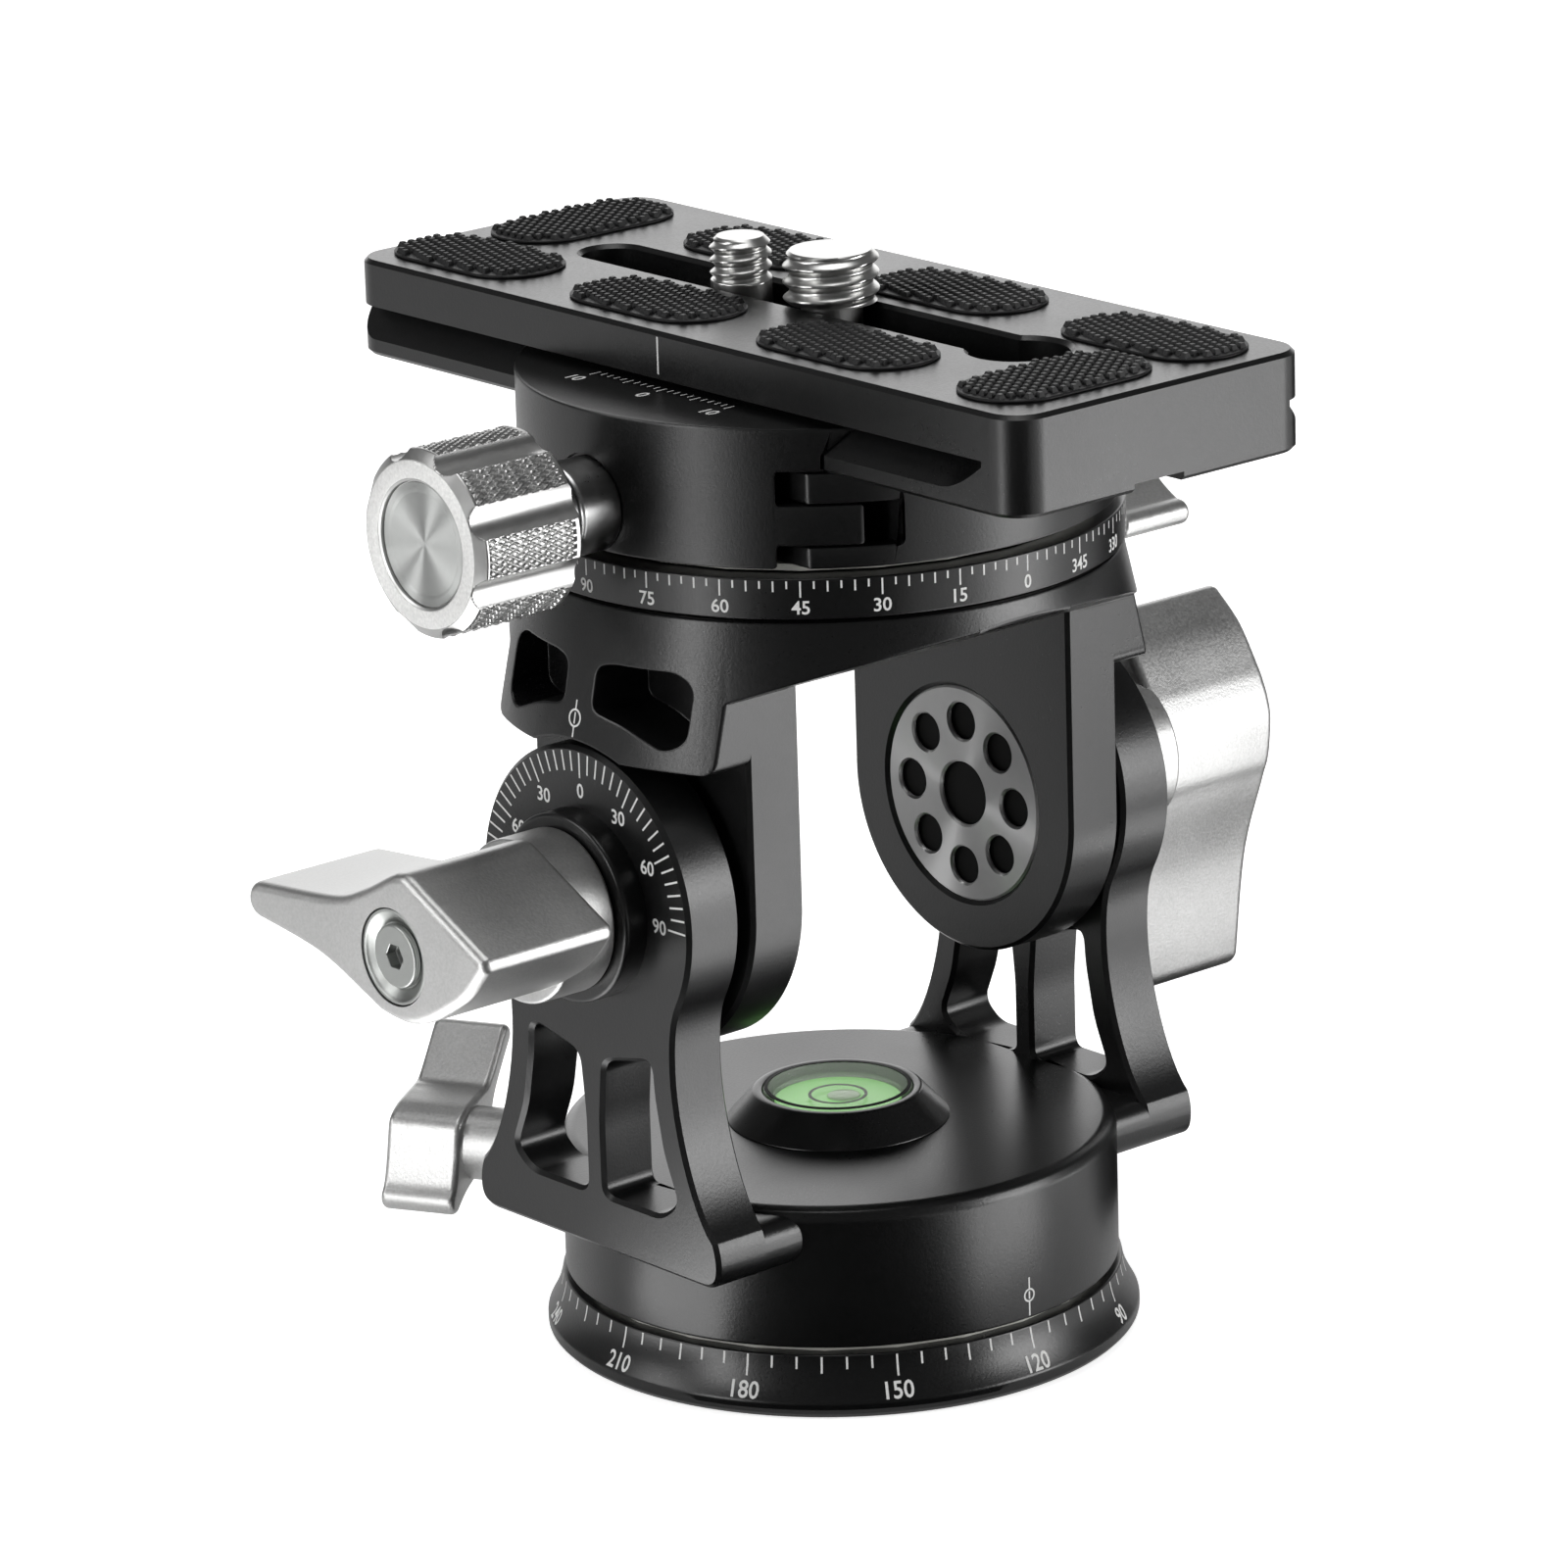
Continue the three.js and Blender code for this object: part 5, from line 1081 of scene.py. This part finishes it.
opening = math.degrees(math.asin(SLOT_HALF / KEYHOLE))
slot_outline = arc(0, 30.75, SLOT_HALF, 0, 180, 24)
slot_outline += arc(0, KEYHOLE_Y, KEYHOLE, 90 + opening, 450 - opening, 48)
plate = slab("camera_plate_skin", [soft_rectangle(PLATE_HALF, PLATE_LENGTH, 3.75), slot_outline],
             CLAMP_FLOOR, PLATE_TOP, 0.42, "Z")
cuts = []
for side in (-1, 1):
    groove = [
        (side * 20, LIP_TOP - 1), (side * WAIST, LIP_TOP + GROOVE), (side * WAIST, SLAB_BOTTOM),
        (side * 20, SLAB_BOTTOM),
    ]
    cuts.append(slab("groove", [groove], GROOVE_STOP if side < 0 else -60, 60, 0, "Y"))
cuts.append(turned("cutter", [
    (0, SLAB_BOTTOM), (CUTTER, SLAB_BOTTOM), (CUTTER, LIP_TOP + GROOVE), (CUTTER - GROOVE - 1, LIP_TOP - 1),
    (0, LIP_TOP - 1),
], 0, 192, centre=(-WAIST - CUTTER, GROOVE_STOP, 0)))
cuts.append(slab("pocket", [soft_rectangle(7.6, 35.5, 3.8)], 90, 101.2, 0, "Z"))
cuts.append(slab("end_channel", [[(-4.2, 90), (2.2, 90), (2.2, CLAMP_FLOOR + 0.9), (-4.2, CLAMP_FLOOR + 0.9)]],
                 -60, -34, 0, "Y"))
shaped(plate, cuts)
fitted(plate, black, "plate", "camera_plate")

centre_line = scale_marks("plate_centre_mark", [
    (stroke(0.22, SLAB_BOTTOM + 0.5, PLATE_TOP - 0.5), lambda u, v, w: (-PLATE_HALF - w, 1.4 - u, v)),
])
fitted(centre_line, pale, "plate")

# -------------------- rubber pads
# Eight racetrack pads of black rubber, glued in shallow beds on the plate. Small pyramids, set
# in slanting rows, cover each one, so that a camera doesn't slip.

PAD_WIDTH = 10.9
PAD_LENGTH = 21.0
STUD_STEP = 1.1
PADS = [(-0.579, 0.756, False), (-0.579, 0.195, False), (-0.579, -0.37, False), (-0.318, -0.845, True)]

rubber = finish("grip_rubber", (0.009, 0.009, 0.0095), 0.0, 0.5, 2200, 0.02, 0.25, 0.06, 0.3)
number = 0
for turn in (1, -1):
    for across, along, crosswise in PADS:
        number += 1
        x, y = turn * across * PLATE_HALF, 1 + turn * along * PLATE_LENGTH
        bed = slab("bed", [soft_rectangle(PAD_WIDTH / 2, PAD_LENGTH / 2, PAD_WIDTH / 2 - 0.01, 24)],
                   PLATE_TOP, PLATE_TOP + 0.32, 0.1, "Z")
        verts, faces = parts_of(bed.data)
        bpy.data.objects.remove(bed)
        for row in range(-10, 11):
            for column in range(-6, 7):
                u = column * STUD_STEP + (0.3 * row % 1) * STUD_STEP
                v = row * STUD_STEP * 0.93
                overhang = max(0, abs(v) - (PAD_LENGTH - PAD_WIDTH) / 2)
                if math.hypot(u, overhang) > PAD_WIDTH / 2 - 0.5:
                    continue
                add_to(verts, faces, [
                    (u + a * half, v + b * half, PLATE_TOP + z)
                    for half, z in ((0.42, 0.25), (0.22, 0.78)) for a, b in ((1, 1), (-1, 1), (-1, -1), (1, -1))
                ], [(3, 2, 1, 0), (4, 5, 6, 7), *band(0, 4, 4)])
        pad = plain_piece(f"pad_{number}", verts, faces)
        if crosswise:
            pad.data.transform(Matrix.Rotation(math.pi / 2, 4, "Z"))
        pad.data.transform(Matrix.Translation((x, y, 0)))
        fitted(pad, rubber, "plate", f"grip_pad_{number}", sharp=30)

# -------------------- camera screws
# Two polished stainless screws stand in the slot, the larger with a 3/8 inch thread and the
# smaller with a 1/4 inch one. Their slotted heads hang in the pocket under the plate.


def threaded(name, radius, pitch, depth, low, high, sides=120):
    """A closed screw thread with rounded crests and a chamfered end."""
    rows = round((high - low) / pitch * 16)
    verts, faces = [], []
    for row in range(rows + 1):
        z = low + (high - low) * row / rows
        for k in range(sides):
            phase = (z / pitch - k / sides) % 1
            cut = depth * (0.5 + 0.5 * math.cos(2 * math.pi * phase)) ** 0.8
            reach = radius - cut
            reach = min(reach, radius - max(0, z - high + 0.75) * 1.0)
            turn = 2 * math.pi * k / sides
            verts.append((reach * math.cos(turn), reach * math.sin(turn), z))
    for row in range(rows):
        faces += band(row * sides, (row + 1) * sides, sides)
    faces += [tuple(range(sides)), tuple(range(rows * sides, (rows + 1) * sides))]
    return solid(name, verts, faces)


for word, y, radius, head, rise, pitch in (
    ("big", -2.5, 4.76, 6.9, 5.5, 1.5875), ("small", 11.0, 3.1, 5.6, 4.8, 1.27),
):
    shank = turned("shank", [
        (0, 97.2), (head, 97.2), (head, 100.45), (3.05, 100.45), (3.05, PLATE_TOP + 0.5), (0, PLATE_TOP + 0.5),
    ], 0.2, 96)
    driver = slab("driver", [[(-10, -0.7), (10, -0.7), (10, 0.7), (-10, 0.7)]], 96, 98.4, 0, "Z")
    shaped(shank, [driver])
    thread = threaded("thread", radius, pitch, pitch * 0.42, PLATE_TOP + 0.3, PLATE_TOP + rise)
    screw = joined(f"{word}_screw_skin", [shank, thread])
    screw.data.transform(Matrix.Translation((0, y, 0)))
    fitted(screw, polished, f"{word}_screw", f"{word}_camera_screw", sharp=40)

# -------------------- floor, light and camera
# A white floor, low soft lights at both sides, one behind and one above. A black card and a glowing white card
# that only reflections see lie round the head: painted shade and painted reflections in its sides. A long lens
# stands where the photo was taken.

PHOTO_SIDE = 229.5
PHOTO_PIXELS = 1600
FOCAL_PIXELS = 8018
CAMERA_ANGLES = (229.54, 16.936, -1.765)
CAMERA_AIM = (-3.396, 2.897, 56.087)
CAMERA_DISTANCE = 0.78158
FLOOR_HALF = 6
FLOOR_GLOW = 0.25
FLOOR_WHITER = 0.5
DARK_LIFT = 0.001
WHITE_LIFT = 0.0015


def bearing(angle, distance, height):
    """A place in the studio, by its compass angle round the object, in metres."""
    return distance * math.cos(math.radians(angle)), distance * math.sin(math.radians(angle)), height


def sheet(name, corners, faces, grain, dark, white, **values):
    """Paper or card that lies round the head, with a faint cloud in its tone; a card may be dark or glowing, as
    painted shade or painted reflections.
    """
    piece = plain_piece(name, corners, faces)
    material = new_material(name + "_paper")
    tree = material.node_tree
    shader = tuned(material, **values)
    cloud = node(tree, "TexNoise", Scale=grain)
    tone = ramp(tree, (0, [dark] * 3), (1, [white] * 3))
    wired(tree, (cloud, "Fac", tone, "Fac"), (tone, "Color", shader, "Base Color"))
    piece.data.materials.append(material)
    return piece, tree, shader, tone


def lies_unseen(card):
    card.visible_camera = False
    card.visible_shadow = False
    card.visible_diffuse = False


floor, tree, shader, _ = sheet("floor", [
    (-FLOOR_HALF, -FLOOR_HALF, 0), (FLOOR_HALF, -FLOOR_HALF, 0), (FLOOR_HALF, FLOOR_HALF, 0),
    (-FLOOR_HALF, FLOOR_HALF, 0),
], [(0, 1, 2, 3)], 3, 0.86, 0.9, Roughness=0.9, Specular_IOR_Level=0.1, Emission_Color=(1, 1, 1, 1))
floor.location.z = -0.0001
path = node(tree, "LightPath")
seen, seen_all, lift, whiter = (maths(tree, operation, factor) for operation, factor in (
    ("MAXIMUM", 0), ("MAXIMUM", 0), ("MULTIPLY", FLOOR_GLOW), ("MULTIPLY_ADD", FLOOR_WHITER)))
wired(
    tree, (path, "Is Camera Ray", seen, 0), (path, "Is Glossy Ray", seen, 1), (seen, 0, seen_all, 0),
    (path, "Is Transmission Ray", seen_all, 1), (seen_all, 0, lift, 0), (path, "Is Camera Ray", whiter, 0),
    (lift, 0, whiter, 2), (whiter, 0, shader, "Emission Strength"))

# A black card that only reflections see and that casts no shadow: painted shade in the sides of the head, where
# the white floor would show.
painted_shade_card, *_ = sheet("painted_shade_card", [
    bearing(PHOTO_SIDE - 40, 0.034, DARK_LIFT), bearing(PHOTO_SIDE + 40, 0.034, DARK_LIFT),
    bearing(PHOTO_SIDE + 28, 0.9, DARK_LIFT), bearing(PHOTO_SIDE - 28, 0.9, DARK_LIFT),
    bearing(-30, 0.05, DARK_LIFT), bearing(-8, 0.9, DARK_LIFT), bearing(22, 0.9, DARK_LIFT),
    bearing(20, 0.05, DARK_LIFT),
], [(0, 1, 2, 3), (4, 5, 6, 7)], 800, 0.002, 0.006, Roughness=1, Specular_IOR_Level=0)
lies_unseen(painted_shade_card)

# A card that glows, though it is no lamp, and that only reflections see: painted reflections on the sides of
# the head and the knobs.
left_strip = [(196, 0.036), (160, 0.045), (158, 0.085), (176, 0.12), (180, 0.5), (189, 0.5)]
right_sheet = [
    (271, 0.055), (300, 0.06), (309, 0.2), (317, 0.3), (319, 0.55), (297, 0.55), (286, 0.14), (271, 0.085),
]
knob_patch = [(314, 0.09), (332, 0.1), (329, 0.15), (315, 0.15)]
painted_reflection_card, tree, shader, tone = sheet(
    "painted_reflection_card", [bearing(*spot, WHITE_LIFT) for spot in left_strip + right_sheet + knob_patch],
    [tuple(range(6)), tuple(range(6, 14)), tuple(range(14, 18))], 20, 0.94, 1, Emission_Strength=4.4)
wired(tree, (tone, "Color", shader, "Emission Color"))
lies_unseen(painted_reflection_card)

world = bpy.data.worlds.new("studio")
bpy.context.scene.world = world
world.use_nodes = True
tree = world.node_tree
place = node(tree, "TexCoord")
behind = node(tree, "VectorMath")
behind.operation = "DOT_PRODUCT"
behind.inputs[1].default_value = bearing(PHOTO_SIDE - 180, 1, 0)
sky = ramp(tree, (0, [0.1] * 3), (0.74, [0.12] * 3), (0.96, [1] * 3))
wired(tree, (place, "Generated", behind, 0), (behind, "Value", sky, "Fac"),
      (sky, "Color", tree.nodes["Background"], "Color"))


def softbox(name, place, aim, width, height, power):
    lamp = bpy.data.lights.new(name, "AREA")
    lamp.shape = "RECTANGLE"
    lamp.size = width
    lamp.size_y = height
    lamp.energy = power
    holder = bpy.data.objects.new(name, lamp)
    holder.location = place
    holder.rotation_euler = (Vector(aim) - Vector(place)).to_track_quat("-Z", "Y").to_euler()
    bpy.context.scene.collection.objects.link(holder)


softbox("right_light", bearing(303, 0.7, 0.15), (0, 0, 0.05), 0.36, 0.26, 2.8)
softbox("left_light", bearing(180, 0.8, 0.2), (0, 0, 0.04), 0.18, 0.4, 1.8)
softbox("rear_left_light", bearing(150, 0.7, 0.42), (0, 0, 0.06), 0.25, 0.4, 1.5)
softbox("back_light", bearing(49.5, 1.1, 0.35), (0, 0, 0.06), 1.2, 0.7, 2.7)
softbox("top_light", (0, 0, 1.0), (0, 0, 0.05), 0.6, 0.6, 3.5)

lens = bpy.data.cameras.new("photo_camera")
lens.sensor_width = 36
lens.lens = FOCAL_PIXELS / PHOTO_PIXELS * lens.sensor_width
lens.clip_start = 0.01
camera = bpy.data.objects.new("photo_camera", lens)
azimuth, elevation, roll = (math.radians(angle) for angle in CAMERA_ANGLES)
back = Vector((
    math.cos(azimuth) * math.cos(elevation), math.sin(azimuth) * math.cos(elevation), math.sin(elevation)))
aim = Vector(CAMERA_AIM) * MM
right = (-back).cross(Vector((0, 0, 1))).normalized()
up = right.cross(-back)
right, up = (right * math.cos(roll) + up * math.sin(roll), up * math.cos(roll) - right * math.sin(roll))
stand = Matrix((right, up, back)).transposed().to_4x4()
stand.translation = aim + back * CAMERA_DISTANCE
camera.matrix_world = stand
bpy.context.scene.collection.objects.link(camera)
bpy.context.scene.camera = camera
bpy.context.scene.view_settings.view_transform = "Standard"
